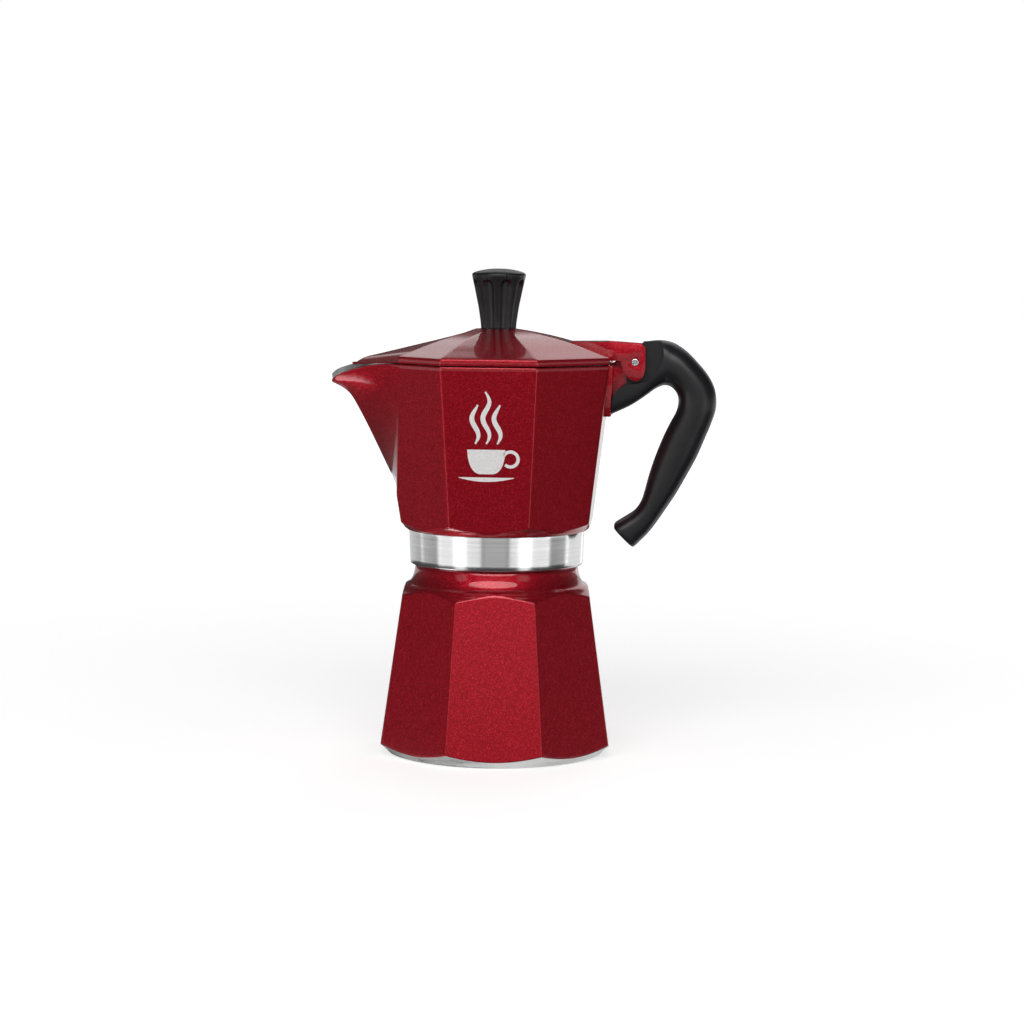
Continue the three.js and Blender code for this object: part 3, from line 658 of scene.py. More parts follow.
def funnel_group():
    cup = [
        (29.9, 97.9), (33.3, 97.9), (33.3, 98.8), (29.2, 98.8), (29.0, 98.4), (28.2, 70.5),
        (4.7, 64.9), (4.5, 12.0), (5.4, 12.0), (5.6, 64.0), (29.1, 69.7)
    ]
    made = lathe("funnel_cup", "funnel_body", "bare_aluminium", cup, TURNED, ease=0.25)
    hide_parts("funnel")
    disc = box(0, 27.6, 70.8, 71.5)
    made = lathe("funnel_strainer", "funnel_body", "bare_aluminium", disc, ALUMINIUM, closed=False)
    perforate(made, 70, 72)
    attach(made, "funnel_body")
    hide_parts("funnel_filter")
    disc = box(0, 30.4, 99.1, 99.8)
    made = lathe("filter_disc", "upper_body", "bare_aluminium", disc, ALUMINIUM, closed=False)
    perforate(made, 98.6, 100.4)
    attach(made, "upper_body")
    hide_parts("filter_plate")
    ring = [(30.6, 99.1), (33.8, 99.1), (33.8, 102.0), (28.4, 102.0), (28.4, 100.1), (30.6, 100.1)]
    made = lathe("gasket_ring", "upper_body", "silicone", ring, SILICONE, ease=0.35)
    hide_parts("gasket")


# ---- Upper chamber

CHAMBER_CORNER = [(105.2, 46.0), (175.9, 55.1)]
CHAMBER_TOP = 175.9
CHAMBER_FLOOR = 107.0
SPOUT_START = 117.0
SPOUT_ROOT = (18.5, 31.1)  # half width at its foot and at the rim
KEEL_REACH = [
    (117.0, 44.2), (122.5, 46.9), (157.5, 64.6), (160.7, 66.7), (163.4, 69.6), (165.2, 72.8),
    (166.4, 75.6), (167.6, 76.3), (180.0, 76.4)
]
KEEL_RADIUS = [
    (117.0, 0.5), (122.5, 2.5), (157.5, 3.6), (160.7, 4.4), (163.4, 5.2), (166.0, 6.8),
    (168.0, 8.6), (171.0, 10.4), (180.0, 11.0)
]
LIP = [
    (-77.5, 165.6), (-76.4, 167.8), (-74.6, 170.2), (-72.0, 172.2), (-68.5, 173.7), (-62.0, 174.9),
    (-46.0, 175.9)
]
# How far the lip's outer edge lies below its inner one.
LIP_BEVEL = [(-74.0, 2.8), (-68.0, 2.4), (-60.0, 1.0), (-52.0, 0.0)]
CHAMBER_TRIM = [
    (100.6, 39.9), (101.7, 41.7), (103.1, 42.6), (105.3, 46.1), (107.5, 50.0), (125.0, 95.0)
]
OCTAGON = [radians(45 * side) for side in (-2.5, -1.5, -0.5, 0.5, 1.5, 2.5)]
ARC_STEPS = 13
SIDE_SHARES = (0.02, 0.07, 0.16, 0.3, 0.43, 0.57, 0.7, 0.84, 0.93, 0.98)


def spouted(corner, root_y, reach, radius, z=0.0, beak_z=None):
    """Corners of an octagon drawn out into a rounded spout at -X."""
    beak_z = z if beak_z is None else beak_z
    points = [polar(corner, a, z) for a in OCTAGON]
    root_x = root_y - corner * APOTHEM * sqrt(2)
    centre = Vector((radius - reach, 0))
    away = Vector((root_x, root_y)) - centre
    touch = atan2(away.y, away.x) + acos(min(1.0, radius / away.length))
    points.append(Vector((root_x, root_y, z)))
    for i in range(ARC_STEPS):
        a = mix(touch, 2 * pi - touch, i / (ARC_STEPS - 1))
        points.append(Vector((centre.x + radius * cos(a), radius * sin(a), beak_z)))
    points.append(Vector((root_x, -root_y, z)))
    return points


def spouted_loop(points, size):
    sizes = [size] * 7 + [0.0] * ARC_STEPS + [size]
    sides = [SIDE_SHARES] * 7 + [()] * (ARC_STEPS - 1) + [SIDE_SHARES] * 2
    return dense(points, sizes, sides)


# How far each column of the outline follows the flare of the spout's tip.
FLARE = [0.0] * 95 + [s**2.2 for s in SIDE_SHARES] + [1.0] * ARC_STEPS
FLARE += [(1 - s) ** 2.2 for s in SIDE_SHARES] + [0.0] * 15


def chamber_loop(z, inset=0.0, size=0.9):
    """The chamber's outline at a height, moved inwards."""
    corner = along(CHAMBER_CORNER, z)
    rising = min(max((z - SPOUT_START) / (CHAMBER_TOP - SPOUT_START), 0.0), 1.0)
    root = max(corner * sin(HALF_SIDE), mix(*SPOUT_ROOT, rising))
    flat = corner * APOTHEM + 0.02
    reach, radius = flat, 0.5
    if z > SPOUT_START:
        reach = max(flat, eased(KEEL_REACH, z))
        radius = eased(KEEL_RADIUS, z)
    root -= inset * mix(tan(HALF_SIDE), 0.76, rising)
    corner -= inset / APOTHEM
    nose = inset * mix(1.0, 0.45, rising)
    points = spouted(corner, root, reach - nose, max(radius - nose, 0.4), z)
    flared = spouted_loop(points, size)
    above = z - KEEL_REACH[2][0]
    if above < 0:
        return flared
    reach = KEEL_REACH[2][1] + above * 0.506
    radius = KEEL_RADIUS[2][1] + above * 0.30
    points = spouted(corner, root, reach - nose, max(radius - nose, 0.4), z)
    return [mix(a, b, share) for a, b, share in zip(spouted_loop(points, size), flared, FLARE)]


def lip_height(x):
    return CHAMBER_TOP if x > LIP[-1][0] else eased(LIP, x)


def chamber_top(column, inset):
    """Height at which a column of the wall meets the rim or the spout's cut edge."""
    top = CHAMBER_TOP
    for _ in range(6):
        top = mix(top, lip_height(chamber_loop(top, inset)[column].x), 0.7)
    return top


def wall_width(z):
    return along([(CHAMBER_FLOOR, 3.0), (CHAMBER_TOP, 2.3)], z)


def chamber():
    outline = chamber_loop(120.0)
    count = len(outline)
    spout_side = [i for i, p in enumerate(chamber_loop(CHAMBER_TOP)) if p.x < LIP[-1][0] + 2]

    def tops(inset):
        return [chamber_top(i, inset) if i in spout_side else CHAMBER_TOP for i in range(count)]

    loops = {}

    def loop_at(z, inset, size):
        key = (round(z, 3), inset, size)
        if key not in loops:
            loops[key] = chamber_loop(z, inset, size)
        return loops[key]

    def point(i, z, inset=0.0, size=0.9):
        return loop_at(z, inset, size)[i].copy()

    outer_top = [z - eased(LIP_BEVEL, point(i, z).x) for i, z in enumerate(tops(0.0))]
    columns = []
    for i in range(count):
        over = lambda z: point(i, z).to_2d().length - along(CHAMBER_TRIM, z)
        low = round(crossing(over, 101.7, 112.0), 2)
        heights = [mix(101.2, low, t) for t in (0.0, 0.25, 0.5, 0.75)]
        heights += [low + d for d in (-0.4, -0.15, 0.1, 0.35, 0.7, 1.2)]
        heights += [mix(low + 1.2, outer_top[i] - 0.7, t / 52) for t in range(1, 53)]
        column = []
        for z in heights:
            p = point(i, z)
            r = p.to_2d().length
            share = softmin(r, along(CHAMBER_TRIM, z), TRIM_EASE) / r
            column.append(Vector((p.x * share, p.y * share, z)))
        columns.append(column)
    outside = [list(row) for row in zip(*columns)]
    rounding = ((0.4, 0.06), (0.17, 0.2), (0.03, 0.42), (0.0, 0.7))
    rim = [[point(i, outer_top[i] - drop, inset) for i in range(count)] for drop, inset in rounding]
    wall = wall_width(CHAMBER_TOP) - 0.3
    rim.append([point(i, z, wall) for i, z in enumerate(tops(wall))])
    inner_top = tops(wall_width(CHAMBER_TOP))
    inside = []
    for step in range(41):
        heights = [mix(top - 0.3, CHAMBER_FLOOR, step / 40) for top in inner_top]
        inside.append([point(i, z, round(wall_width(z), 2), 1.5) for i, z in enumerate(heights)])
    middle = Vector((0, 0, CHAMBER_FLOOR))
    floor = [[mix(middle, p, t) for p in inside[-1]] for t in (0.96, 0.5, 0.0)]

    def round_row(r, z):
        return [
            Vector((r * p.x / p.to_2d().length, r * p.y / p.to_2d().length, z)) for p in outline
        ]

    foot = [(0.0, 103.7), (6.5, 103.7), (28.9, 102.1), (35.9, 102.1), (35.9, 100.7), (39.5, 100.7)]
    under = [round_row(r, z) for r, z in foot + [(40.2, 100.75), (40.7, 100.95)]]
    first, last = len(under) - 3, len(under) + len(outside) + 2
    solid = coated(under + outside + rim + inside + floor, first, last)
    made = piece("chamber_shell", "upper_body", "red_enamel", *solid)
    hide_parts("collector")
    skirt_band()
    handle_lug()
    coffee_column()


def skirt_band():
    band = [
        (36.7, 85.4), (38.5, 85.4), (39.0, 85.9), (39.1, 88.0), (39.5, 98.0), (39.6, 100.0),
        (39.6, 101.0), (39.2, 101.3), (36.1, 101.3), (35.9, 101.0), (35.9, 86.2)
    ]
    lathe("skirt_band", "upper_body", "bare_aluminium", band, TURNED, segments=160, ease=0.15)
    thread("skirt_thread", "upper_body", 36.2, 34.8, 88.5)


def arc(cx, cz, radius, start, end, steps):
    """Points (x, z) on a circle from one angle to another, in degrees."""
    angles = (radians(mix(start, end, i / steps)) for i in range(steps + 1))
    return [(cx + radius * cos(a), cz + radius * sin(a)) for a in angles]


def bezier(p0, p1, p2, p3, steps):
    """A cubic curve, as points after its first."""
    out = []
    for i in range(1, steps + 1):
        t = i / steps
        u = 1 - t
        axes = zip(p0, p1, p2, p3)
        cubic = (u**3 * a + 3 * u * u * t * b + 3 * u * t * t * c + t**3 * d for a, b, c, d in axes)
        out.append(tuple(cubic))
    return out


def curved(p0, p1, p2, steps):
    """A quadratic curve, as points after its first."""
    a = tuple(mix(u, v, 2 / 3) for u, v in zip(p0, p1))
    b = tuple(mix(u, v, 2 / 3) for u, v in zip(p2, p1))
    return bezier(p0, a, b, p2, steps)


PIN = (61.8, 177.0)
PIN_FRAME = Matrix.Translation((PIN[0], 0, PIN[1])) @ Matrix.Rotation(-pi / 2, 4, "X")


def handle_lug():
    side = [(46.0, 152.6), (51.3, 152.6), (52.1, 175.3), (46.0, 175.3)]
    plate("handle_flange", side, -9.6, 9.6, ENAMEL, "upper_body", "red_enamel", bevel=0.5)
    side = [(49.0, 157.0), (57.0, 158.6), (63.5, 162.5), (66.3, 168.0)]
    side += arc(*PIN, 4.8, -22.5, 120.0, 24) + [(52.0, 176.6), (49.0, 175.3)]
    plate("hinge_lug", side, -3.6, 3.6, ENAMEL, "upper_body", "red_enamel", bevel=0.4)


def coffee_column():
    pipe = [
        (3.7, 103.8), (6.4, 103.8), (6.4, 107.1), (9.5, 107.1), (9.5, 108.3), (8.2, 112.0),
        (7.4, 120.0), (6.6, 130.0), (5.6, 155.0), (4.9, 156.6), (3.4, 157.6), (0.0, 158.0),
        (0.0, 154.0), (3.2, 154.0), (3.7, 153.5)
    ]
    made = lathe("column_pipe", "upper_body", "bare_aluminium", pipe, ALUMINIUM, 64, ease=0.2)
    cut(made, plate("slot", box(-12, 12, 147, 153), -2.2, 2.2, ALUMINIUM))
    finish_shading(made)
    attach(made, "upper_body")
    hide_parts("coffee_column")


# ---- Handle

HANDLE = [  # (inner x, inner z, outer x, outer z, half width, edge radius) along the handle
    (51.5, 153.6, 51.9, 186.0, 10.5, 1.6),
    (59.0, 157.1, 60.5, 186.0, 10.5, 1.8),
    (63.4, 159.8, 66.5, 186.1, 10.5, 2.2),
    (67.4, 162.6, 71.0, 186.6, 10.5, 2.8),
    (71.0, 165.2, 75.0, 186.5, 10.5, 3.4),
    (74.6, 166.6, 79.2, 185.4, 10.5, 4.0),
    (77.6, 166.0, 84.2, 182.2, 10.5, 4.4),
    (79.7, 164.0, 89.4, 177.1, 10.5, 4.7),
    (80.9, 161.4, 94.4, 171.0, 10.5, 5.0),
    (80.9, 158.0, 97.4, 164.6, 10.5, 5.0),
    (79.9, 154.4, 98.0, 157.2, 10.5, 5.0),
    (77.7, 150.2, 96.2, 150.6, 10.5, 5.0),
    (75.1, 144.9, 93.3, 143.4, 10.5, 5.0),
    (72.4, 138.4, 89.6, 134.6, 10.5, 5.0),
    (70.0, 131.8, 85.2, 126.3, 10.5, 4.8),
    (68.0, 125.2, 80.7, 118.2, 10.5, 4.4),
    (66.5, 119.4, 76.5, 111.7, 10.5, 4.2),
    (64.9, 114.4, 72.3, 105.4, 10.5, 4.0),
    (62.2, 110.4, 68.6, 100.5, 10.5, 3.8),
    (57.8, 107.3, 65.2, 97.0, 10.5, 3.7),
    (53.6, 104.6, 63.2, 95.0, 10.5, 3.6),
    (53.0, 103.3, 62.2, 94.2, 10.1, 3.4),
]


def rounded_section(inner, outer, half_width, edge):
    """A section across the handle between its inner and outer line, rounder with a larger edge."""
    across = (outer - inner).normalized()
    length = (outer - inner).length
    middle = (inner + outer) / 2
    power = 2 / (2.5 + 2 * max(4.0 - edge, 0.0))
    points = []
    for k in range(48):
        a = 2 * pi * (k + 0.5) / 48
        u = copysign(abs(cos(a)) ** power, cos(a)) * length / 2
        v = copysign(abs(sin(a)) ** power, sin(a)) * half_width
        points.append((u, v))
    return [Vector((middle.x + across.x * u, v, middle.y + across.y * u)) for u, v in points]


def handle():
    rails = spline([Vector(row[:3]) for row in HANDLE], 4)
    more = spline([Vector(row[3:]) for row in HANDLE], 4)
    rows = []
    for a, b in zip(rails, more):
        rows.append(rounded_section(Vector((a.x, a.y)), Vector((a.z, b.x)), b.y, b.z))
    last = rows[-1]
    middle = sum(last, Vector()) / len(last)
    out = (middle - sum(rows[-4], Vector()) / len(last)).normalized()
    for share, push in ((0.97, 0.35), (0.91, 0.55), (0.82, 0.55), (0.6, 0.3), (0.3, 0.1)):
        rows.append([mix(middle, p, share) + out * push for p in last])
    made = piece("handle_grip", "upper_body", "black_plastic", *skin(rows[:-1]), [PLASTIC])
    corner = [(40, 200), (40, 160), (51.7, 160)]
    corner += curved((51.7, 160), (52.2, 164.6), (57.7, 167.2), 8)
    corner += [(57.7, 181), (58.6, 182.6), (63.6, 184.2), (65.2, 186.0), (65.2, 200)]
    cut(made, plate("corner", corner, -12, 12, PLASTIC))
    pocket = [(50, 195), (50, 160), (51.7, 160)]
    pocket += curved((51.7, 160), (52.8, 167.2), (62.8, 167.6), 8)
    pocket += bezier((62.8, 167.6), (67.5, 168.2), (72.8, 173.0), (74.3, 179.5), 10)
    pocket += bezier((74.3, 179.5), (74.9, 182.4), (74.0, 184.6), (70.5, 195), 6)
    cut(made, plate("pocket_near", pocket, -16, -5.7, PLASTIC))
    cut(made, plate("pocket_far", pocket, 5.7, 16, PLASTIC))
    lug = [
        (48, 156.6), (57.2, 158.2), (64, 162.1), (66.8, 167.8), (67.2, 177), (66.4, 180.8),
        (62, 183)
    ]
    cut(made, plate("lug_slot", lug + [(61, 190), (48, 190)], -3.9, 3.9, PLASTIC))
    finish_shading(made, 40)
    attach(made, "upper_body")
    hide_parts("handle")
    half = [(0, 9.7), (0.7, 9.75), (1.0, 10.1), (1.25, 10.2), (1.5, 10.1), (1.6, 9.8)]
    pin = [(r, -y) for r, y in half] + half[::-1]
    rows = rings(pin, 32, PIN_FRAME)
    made = piece("hinge_rivet", "upper_body", "steel", *skin(rows, ends=False), [STEEL])
    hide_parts("hinge_pin")


# ---- Lid

LID = [  # height, corner radius, reach, rounding and height of the ridge down to the beak
    (179.2, 55.3, 66.2, 3.0, 175.5),
    (179.6, 54.3, 64.8, 2.4, 176.5),
    (182.2, 46.0, 54.8, 2.0, 179.0),
    (184.7, 38.0, 45.2, 1.8, 181.4),
    (186.9, 30.0, 35.6, 1.6, 183.8),
    (188.7, 22.0, 26.0, 1.4, 186.2),
    (190.2, 14.0, 16.6, 1.2, 188.7),
    (191.0, 8.8, 10.4, 1.0, 191.0),
]
LID_UNDERSIDE = [(-80.0, 174.9), (-60.0, 174.95), (-46.0, 176.3), (80.0, 176.3)]
LID_SHEET = 1.9
LID_SEAT = LID[-1][0]
FLANK = [Vector(p) for p in ((-41.3, 30.7, 176.7), (-62.5, 2.8, 175.2), (-33.0, 24.4, 184.6))]
FLANK_NORMAL = (FLANK[1] - FLANK[0]).cross(FLANK[2] - FLANK[0])


CLEAR = 999.0  # a height above everything


def flank(p):
    """Height of the flat flank beside the beak; far above the lid outside the beak."""
    rim = FLANK[0]
    if p.x > -2 or abs(p.y) > -p.x * rim.y / -rim.x - 0.12:
        return CLEAR
    n = FLANK_NORMAL
    return rim.z - (n.x * (p.x - rim.x) + n.y * (abs(p.y) - rim.y)) / n.z


def lid_column(t, drop=0.0):
    """A ring of the lid at t from 0 at its rim to 7 at the knob's seat."""
    steps = list(enumerate(LID))
    z, corner, reach, radius, beak = (eased([(i, row[k]) for i, row in steps], t) for k in range(5))
    root = 31.1 * corner / LID[0][1]
    size = min(0.8, corner * 0.05)
    loop = spouted_loop(spouted(corner, root, reach, radius, z - drop, beak - drop), size)
    for p in loop:
        p.z = softmin(p.z, flank(p) - drop, 0.25)
    return loop


def underside(p):
    return along(LID_UNDERSIDE, p.x)


def lid_wall(inset, z_of):
    """A ring down the lid's edge, moved inwards, at the height that z_of gives for each point."""
    points = spouted(
        55.3 - inset / APOTHEM, 31.1 - 0.76 * inset, 66.2 - inset, max(3.0 - inset, 0.6)
    )
    loop = spouted_loop(points, 0.8)
    top = lid_column(0)
    heights = [min(z_of(p, q), max(flank(p), underside(p) + 0.3)) for p, q in zip(loop, top)]
    return [Vector((p.x, p.y, z)) for p, z in zip(loop, heights)]


def lid():
    def under(drop):
        return lambda p, q: underside(p) + drop

    rows = [lid_wall(LID_SHEET, under(0.25)), lid_wall(LID_SHEET - 0.25, under(0.0))]
    rows += [lid_wall(0.3, under(0.0)), lid_wall(0.08, under(0.08)), lid_wall(0.0, under(0.3))]
    rows.append(lid_wall(0.0, lambda p, q: max(q.z - 0.45, underside(p) + 0.32)))
    rows.append(lid_wall(0.06, lambda p, q: max(q.z - 0.2, underside(p) + 0.4)))
    rows.append(lid_wall(0.25, lambda p, q: q.z + 0.03))
    rows += [lid_column(t / 6) for t in range(2, 43)]
    seat = [[Vector((p.x * s, p.y * s, LID_SEAT)) for p in rows[-1]] for s in (0.8, 0.25)]
    inner_seat = [[Vector((p.x, p.y, LID_SEAT - LID_SHEET)) for p in row] for row in reversed(seat)]
    outer = len(rows) + 1
    inside = [lid_column(t / 4, LID_SHEET) for t in range(28, 5, -1)]
    rim_in = lid_wall(LID_SHEET, lambda p, q: max(q.z - 1.2, underside(p) + 0.3))
    solid = coated(rows + seat + inner_seat + inside + [rim_in, rows[0]], 1, outer)
    made = piece("lid_shell", "lid_body", "red_enamel", *solid)
    lid_bracket(made)
    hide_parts("lid")


def lid_bracket(shell):
    """The two ears that carry the hinge pin, cast in one with the lid."""
    side = [(33, 184.7), (33, 185.8), (49, 185.9), (64.6, 184.9)]
    side += curved((64.6, 184.9), (66.3, 184.6), (66.3, 183.0), 5)
    side += [(66.3, 174.0)] + curved((66.3, 174.0), (65.8, 169.0), (62.3, 168.8), 6)
    side += bezier((62.3, 168.8), (58.5, 168.8), (56.0, 172.5), (55.4, 177.6), 8)
    side += [(51, 177.6), (49.8, 178.9), (42.5, 181.3)]
    made = plate("lid_bracket", side, -10.0, 10.0, ENAMEL)
    plan = [(30, -4.8), (51.5, -10.0), (70, -10.0), (70, 10.0), (51.5, 10.0), (30, 4.8)]
    block = [[Vector((x, y, z)) for x, y in plan] for z in (165, 190)]
    cut(made, piece("plan", None, None, *skin(block), [ENAMEL]), "INTERSECT")
    cut(made, plate("ear_slot", box(49.5, 70, 165, 195), -7.5, 7.5, ENAMEL))
    hole = rings([(1.7, -20), (1.7, 20)], 32, PIN_FRAME)
    cut(made, piece("pin_hole", None, None, *skin(hole), [STEEL]))
    soften(made, 0.45)
    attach(made, "lid_body")
    cut(shell, plate("lid_notch", box(49.5, 60, 170, 190), -7.5, 7.5, ENAMEL))
    finish_shading(shell)
    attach(shell, "lid_body")


# ---- Knob

KNOB = [
    (191.3, 7.9), (193.9, 8.1), (197.5, 8.6), (201.0, 9.15), (204.7, 9.9), (208.3, 10.65),
    (211.8, 11.4), (214.4, 12.0), (215.2, 12.1)
]


def knob():
    segments = 240
    flute_top, arch = 212.9, 3.2
    rows = []
    for step in range(65):
        z = mix(191.25, 214.9, step / 64)
        base = eased(KNOB, z)
        half = base * radians(14.5)  # half width of a flute
        rise = max(0.0, (z - (flute_top - arch)) / arch)
        open_half = half * sqrt(max(0.0, 1 - rise * rise))
        ring = ring_of(1.0, z, segments)
        for p in ring:
            angle = atan2(p.y, p.x)
            off = (angle + 2 * pi) % (pi / 4) - pi / 8
            inside = open_half - abs(off) * base
            wall = min(max(inside / 1.7 + 0.1, 0.0), 1.0) ** 0.7
            depth = 1.75 * mix(0.7, 1.0, (z - 191) / 20) * wall
            r = base - depth
            p.x, p.y = p.x * r, p.y * r
        rows.append(ring)
    foot = [(0.0, 205.5), (2.0, 205.5), (2.0, 191.05), (7.3, 191.05), (7.7, 191.1)]
    cap = [(12.05, 215.3), (11.75, 215.75), (11.1, 216.15), (9.8, 216.6), (7.8, 217.1)]
    cap += [(5.2, 217.55), (2.6, 217.8), (0.0, 217.87)]
    foot, cap = ([ring_of(r, z, segments) for r, z in part] for part in (foot, cap))
    solid = skin(foot + rows + cap, ends=False)
    made = piece("knob_grip", "lid_body", "black_plastic", *solid, [PLASTIC], crease=45)
    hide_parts("knob")
    disc = box(2.2, 5.4, 188.2, 189.0)
    made = lathe("knob_washer_disc", "lid_body", "steel", disc, STEEL, 64, ease=0.2)
    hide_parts("knob_washer")
    bolt = [(0, 185.9), (2.6, 185.9), (3.5, 186.5), (3.8, 187.3), (3.8, 188.1), (1.9, 188.1)]
    bolt += [(1.9, 205), (0, 205)]
    made = lathe("knob_screw_bolt", "lid_body", "steel", bolt, STEEL, 64, ease=0.15, closed=False)
    for half, deep in ((2.2, 0.4), (0.4, 2.2)):
        cut(made, plate("cross", box(-half, half, 185, 187.1), -deep, deep, STEEL))
    finish_shading(made)
    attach(made, "lid_body")
    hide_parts("knob_screw")


# ---- Printed mark: a plain steaming cup


def stroke(points, width):
    """A line of a width as an outline, with rounded ends and a width for each point."""
    left, right = [], []
    for i, p in enumerate(points):
        step = points[min(i + 1, len(points) - 1)] - points[max(i - 1, 0)]
        side = Vector((-step.y, step.x)).normalized() * width(i / (len(points) - 1))
        left.append(p + side)
        right.append(p - side)
    return left + right[::-1]


def mark_outlines():
    """The cup, its handle, its saucer and three curls of steam, in the facet's plane."""
    cup = [Vector((-7.2, 0.0)), Vector((7.2, 0.0))]
    for k in range(1, 11):
        a = radians(8 * k)
        cup.append(Vector((7.2 * cos(a) ** 0.6, -9.6 * sin(a))))
    cup += [Vector((-p.x, p.y)) for p in reversed(cup[2:])]
    bearings = [radians(150 - 15 * k) for k in range(20)]
    ring = [Vector((9.2 + 2.9 * cos(a), -3.6 + 2.9 * sin(a))) for a in bearings]
    across = [mix(-10.5, 10.5, k / 16) for k in range(17)]
    saucer = [Vector((x, -10.9 - 1.5 * (1 - (x / 10.5) ** 2))) for x in across]
    saucer += [Vector((10.5, -10.7)), Vector((-10.5, -10.7))]
    shapes = [cup, stroke(ring, lambda t: 0.62), saucer]
    for x, height, lift in ((-4.2, 15.0, 2.2), (0.0, 20.0, 2.2), (4.2, 15.0, 2.2)):
        curl = []
        for k in range(29):
            t = k / 28
            curl.append(Vector((x + 1.25 * sin(2 * pi * t * height / 13.0), lift + height * t)))
        shapes.append(stroke(curl, lambda t: 0.95 * sin(pi * min(max(t, 0.04), 0.96)) ** 0.5))
    return shapes


def printed_mark():
    low, high = CHAMBER_CORNER
    foot = Vector((0, -low[1] * APOTHEM, low[0]))
    head = Vector((0, -high[1] * APOTHEM, high[0]))
    up = (head - foot).normalized()
    right = Vector((1, 0, 0))
    out = right.cross(up)
    centre = foot + up * 35.0 + right * -1.0
    scale = 1.15
    solids = []
    for shape in mark_outlines():
        back = [centre + (right * p.x + up * p.y) * scale - out * 0.05 for p in shape]
        solids.append([back, [p + out * 0.11 for p in back]])
    piece("printed_cup_mark", "upper_body", "red_enamel", *joined(solids), [INK])


# ---- Camera, light and floor


def camera():
    turn, pitch, roll = radians(4.52), radians(5.603), radians(0.529)
    forward = Vector((-sin(turn) * cos(pitch), cos(turn) * cos(pitch), -sin(pitch)))
    level = polar(1, turn, 0)
    above = level.cross(forward)
    right = level * cos(roll) + above * sin(roll)
    up = above * cos(roll) - level * sin(roll)
    data = bpy.data.cameras.new("camera")
    data.lens = 101.4
    data.clip_end = 20.0
    obj = placed("camera", data)
    axes = Matrix((right, up, -forward)).transposed()
    obj.matrix_world = Matrix.Translation(Vector((108.9, -1291.6, 235.5)) * MM) @ axes.to_4x4()
    bpy.context.scene.camera = obj


def softbox(name, place, target, width, height, power, colour=(1.0, 1.0, 1.0)):
    """A soft elliptical light, with its place and target in metres."""
    data = bpy.data.lights.new(name, "AREA")
    data.shape = "ELLIPSE"
    data.size, data.size_y = width, height
    data.energy = power
    data.color = colour
    obj = placed(name, data)
    aim = (Vector(target) - Vector(place)).to_track_quat("-Z", "Y")
    obj.matrix_world = Matrix.Translation(place) @ aim.to_matrix().to_4x4()


def studio_world():
    """White behind the object; around it a dim room with a pale low horizon and soft strips."""
    world = bpy.data.worlds.new("pale_studio")
    world.use_nodes = True
    tree = world.node_tree

    def add(kind, links, **settings):
        node = tree.nodes.new(kind)
        for key, value in settings.items():
            setattr(node, key, value)
        for socket, source in links.items():
            if isinstance(source, (int, float)):
                node.inputs[socket].default_value = source
            else:
                tree.links.new(source, node.inputs[socket])
        return node.outputs[0]

    def times(a, b):
        return add("ShaderNodeMath", {0: a, 1: b}, operation="MULTIPLY")

    def plus(a, b):
        return add("ShaderNodeMath", {0: a, 1: b}, operation="ADD")

    def rise(value, a, b):
        return add("ShaderNodeMapRange", {0: value, 1: a, 2: b}, interpolation_type="SMOOTHSTEP")

    def window(value, low, high, ease):
        """1 between low and high, easing to 0 outside."""
        return times(rise(value, low - ease, low), rise(value, high + ease, high))

    direction = tree.nodes.new("ShaderNodeTexCoord").outputs["Generated"]
    split = tree.nodes.new("ShaderNodeSeparateXYZ")
    tree.links.new(direction, split.inputs[0])
    x, y, z = split.outputs
    forward = times(y, -1.0)
    azimuth = add("ShaderNodeMath", {0: x, 1: forward}, operation="ARCTAN2")
    glow = add("ShaderNodeMapRange", {0: z, 1: -0.88, 2: -0.97, 3: 0.05, 4: 0.72})
    for start, end, bottom, strength in HORIZON:
        part = window(azimuth, radians(start), radians(end), 0.10)
        low = window(z, sin(radians(bottom)), HORIZON_TOP, 0.02)
        glow = plus(glow, times(times(part, low), strength))
    for start, end, bottom, top, strength, ease in STRIPS:
        part = window(azimuth, radians(start), radians(end), 0.14)
        tall = window(z, sin(radians(bottom)), sin(radians(top)), ease)
        glow = plus(glow, times(times(part, tall), strength))
    seen = tree.nodes.new("ShaderNodeLightPath").outputs["Is Camera Ray"]
    strength = add("ShaderNodeMapRange", {0: seen, 3: glow, 4: 1.0})
    background = tree.nodes["Background"]
    background.inputs["Color"].default_value = (1.0, 1.0, 1.0, 1.0)
    tree.links.new(strength, background.inputs["Strength"])
    return world


HORIZON_TOP = -0.0087  # sine of half a degree below level
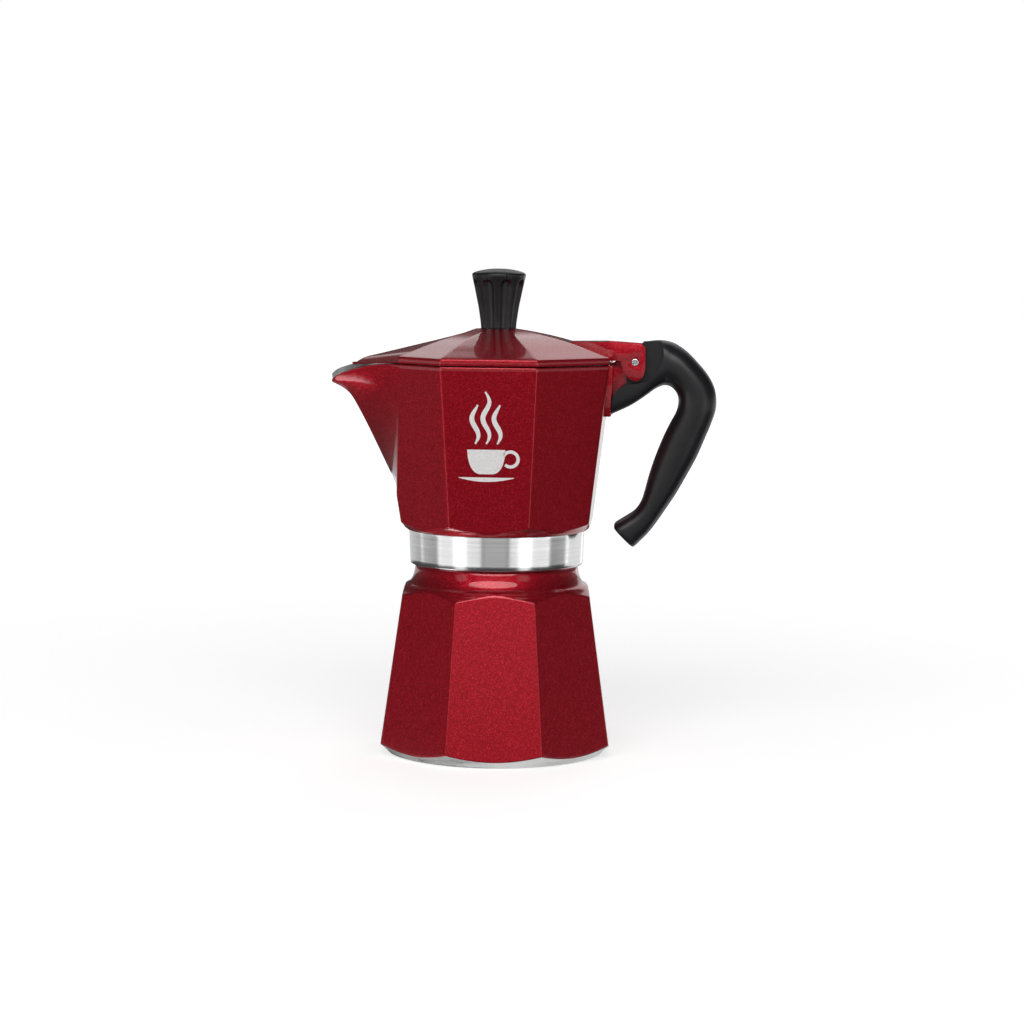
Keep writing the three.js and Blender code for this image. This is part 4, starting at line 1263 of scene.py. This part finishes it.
# Bearings in degrees, 0 to the front and 90 to the handle's side, with the lowest height in degrees
# and the brightness of each stretch of the horizon.
HORIZON = [
    (-179, -165, -8.5, 0.4), (-165, -112, -8.5, 0.6), (-112, -78, -9.5, 0.6),
    (-76, -18, -13.0, 1.05), (-10, 16, -13.0, 0.5), (24, 76, -13.0, 1.05), (78, 112, -9.5, 0.6),
    (112, 160, -13.0, 0.85), (160, 179, -8.5, 0.78)
]
STRIPS = [  # bearings, heights between which each is bright, brightness, and how softly it ends
    (-49, -41, -20, 18, 0.9, 0.08),
    (39, 47, -20, 18, 0.9, 0.08),
    (-16, 20, 8, 24, 0.2, 0.10),
    (-92, -66, -56, -42, 3.2, 0.24),
    (-179.9, -159, 22, 37, 0.95, 0.08),
    (158, 179.9, 4, 37, 0.85, 0.08),
    (-179.9, -145, -50, -34, 0.72, 0.05),
    (128, 179.9, -80, -20, 0.72, 0.10),
]


def pale_floor():
    mesh = bpy.data.meshes.new("floor")
    bm = bmesh.new()
    bmesh.ops.create_circle(bm, cap_ends=True, radius=6.0, segments=96)
    bm.to_mesh(mesh)
    bm.free()
    n = Nodes("pale_floor", Roughness=0.8)
    n.colour(n.noise(30.0), [(0.3, (0.84, 0.84, 0.84)), (0.7, (0.86, 0.86, 0.86))])
    away = n.add("ShaderNodeVectorMath", {0: n.coordinates}, operation="LENGTH").outputs["Value"]
    fade = n.span(away, 0.0, 1.0, 0.15, 1.6)
    n.link("Emission Color", n.ramp(fade, [(0.0, (0.58,) * 3), (1.0, (1.0,) * 3)]))
    n.shader.inputs["Emission Strength"].default_value = 1.0
    mesh.materials.append(n.material)
    floor = placed("floor", mesh)
    floor.location.z = -0.0002
    floor.visible_glossy = False
    floor.visible_diffuse = False
    floor.visible_shadow = False


def studio():
    middle = (0, 0, 0.11)
    softbox("key", (0.0, -1.35, 1.0), middle, 1.9, 0.85, 15.0)
    softbox("back", (0.5, 1.1, 1.5), middle, 0.9, 0.6, 1.3, (1.0, 0.90, 0.96))
    softbox("top", (0.0, -0.1, 1.9), middle, 1.4, 1.4, 3.5)
    bpy.context.scene.world = studio_world()
    bpy.context.scene.view_settings.view_transform = "Standard"
    pale_floor()


camera()
studio()
boiler()
safety_valve()
funnel_group()
chamber()
handle()
lid()
knob()
printed_mark()
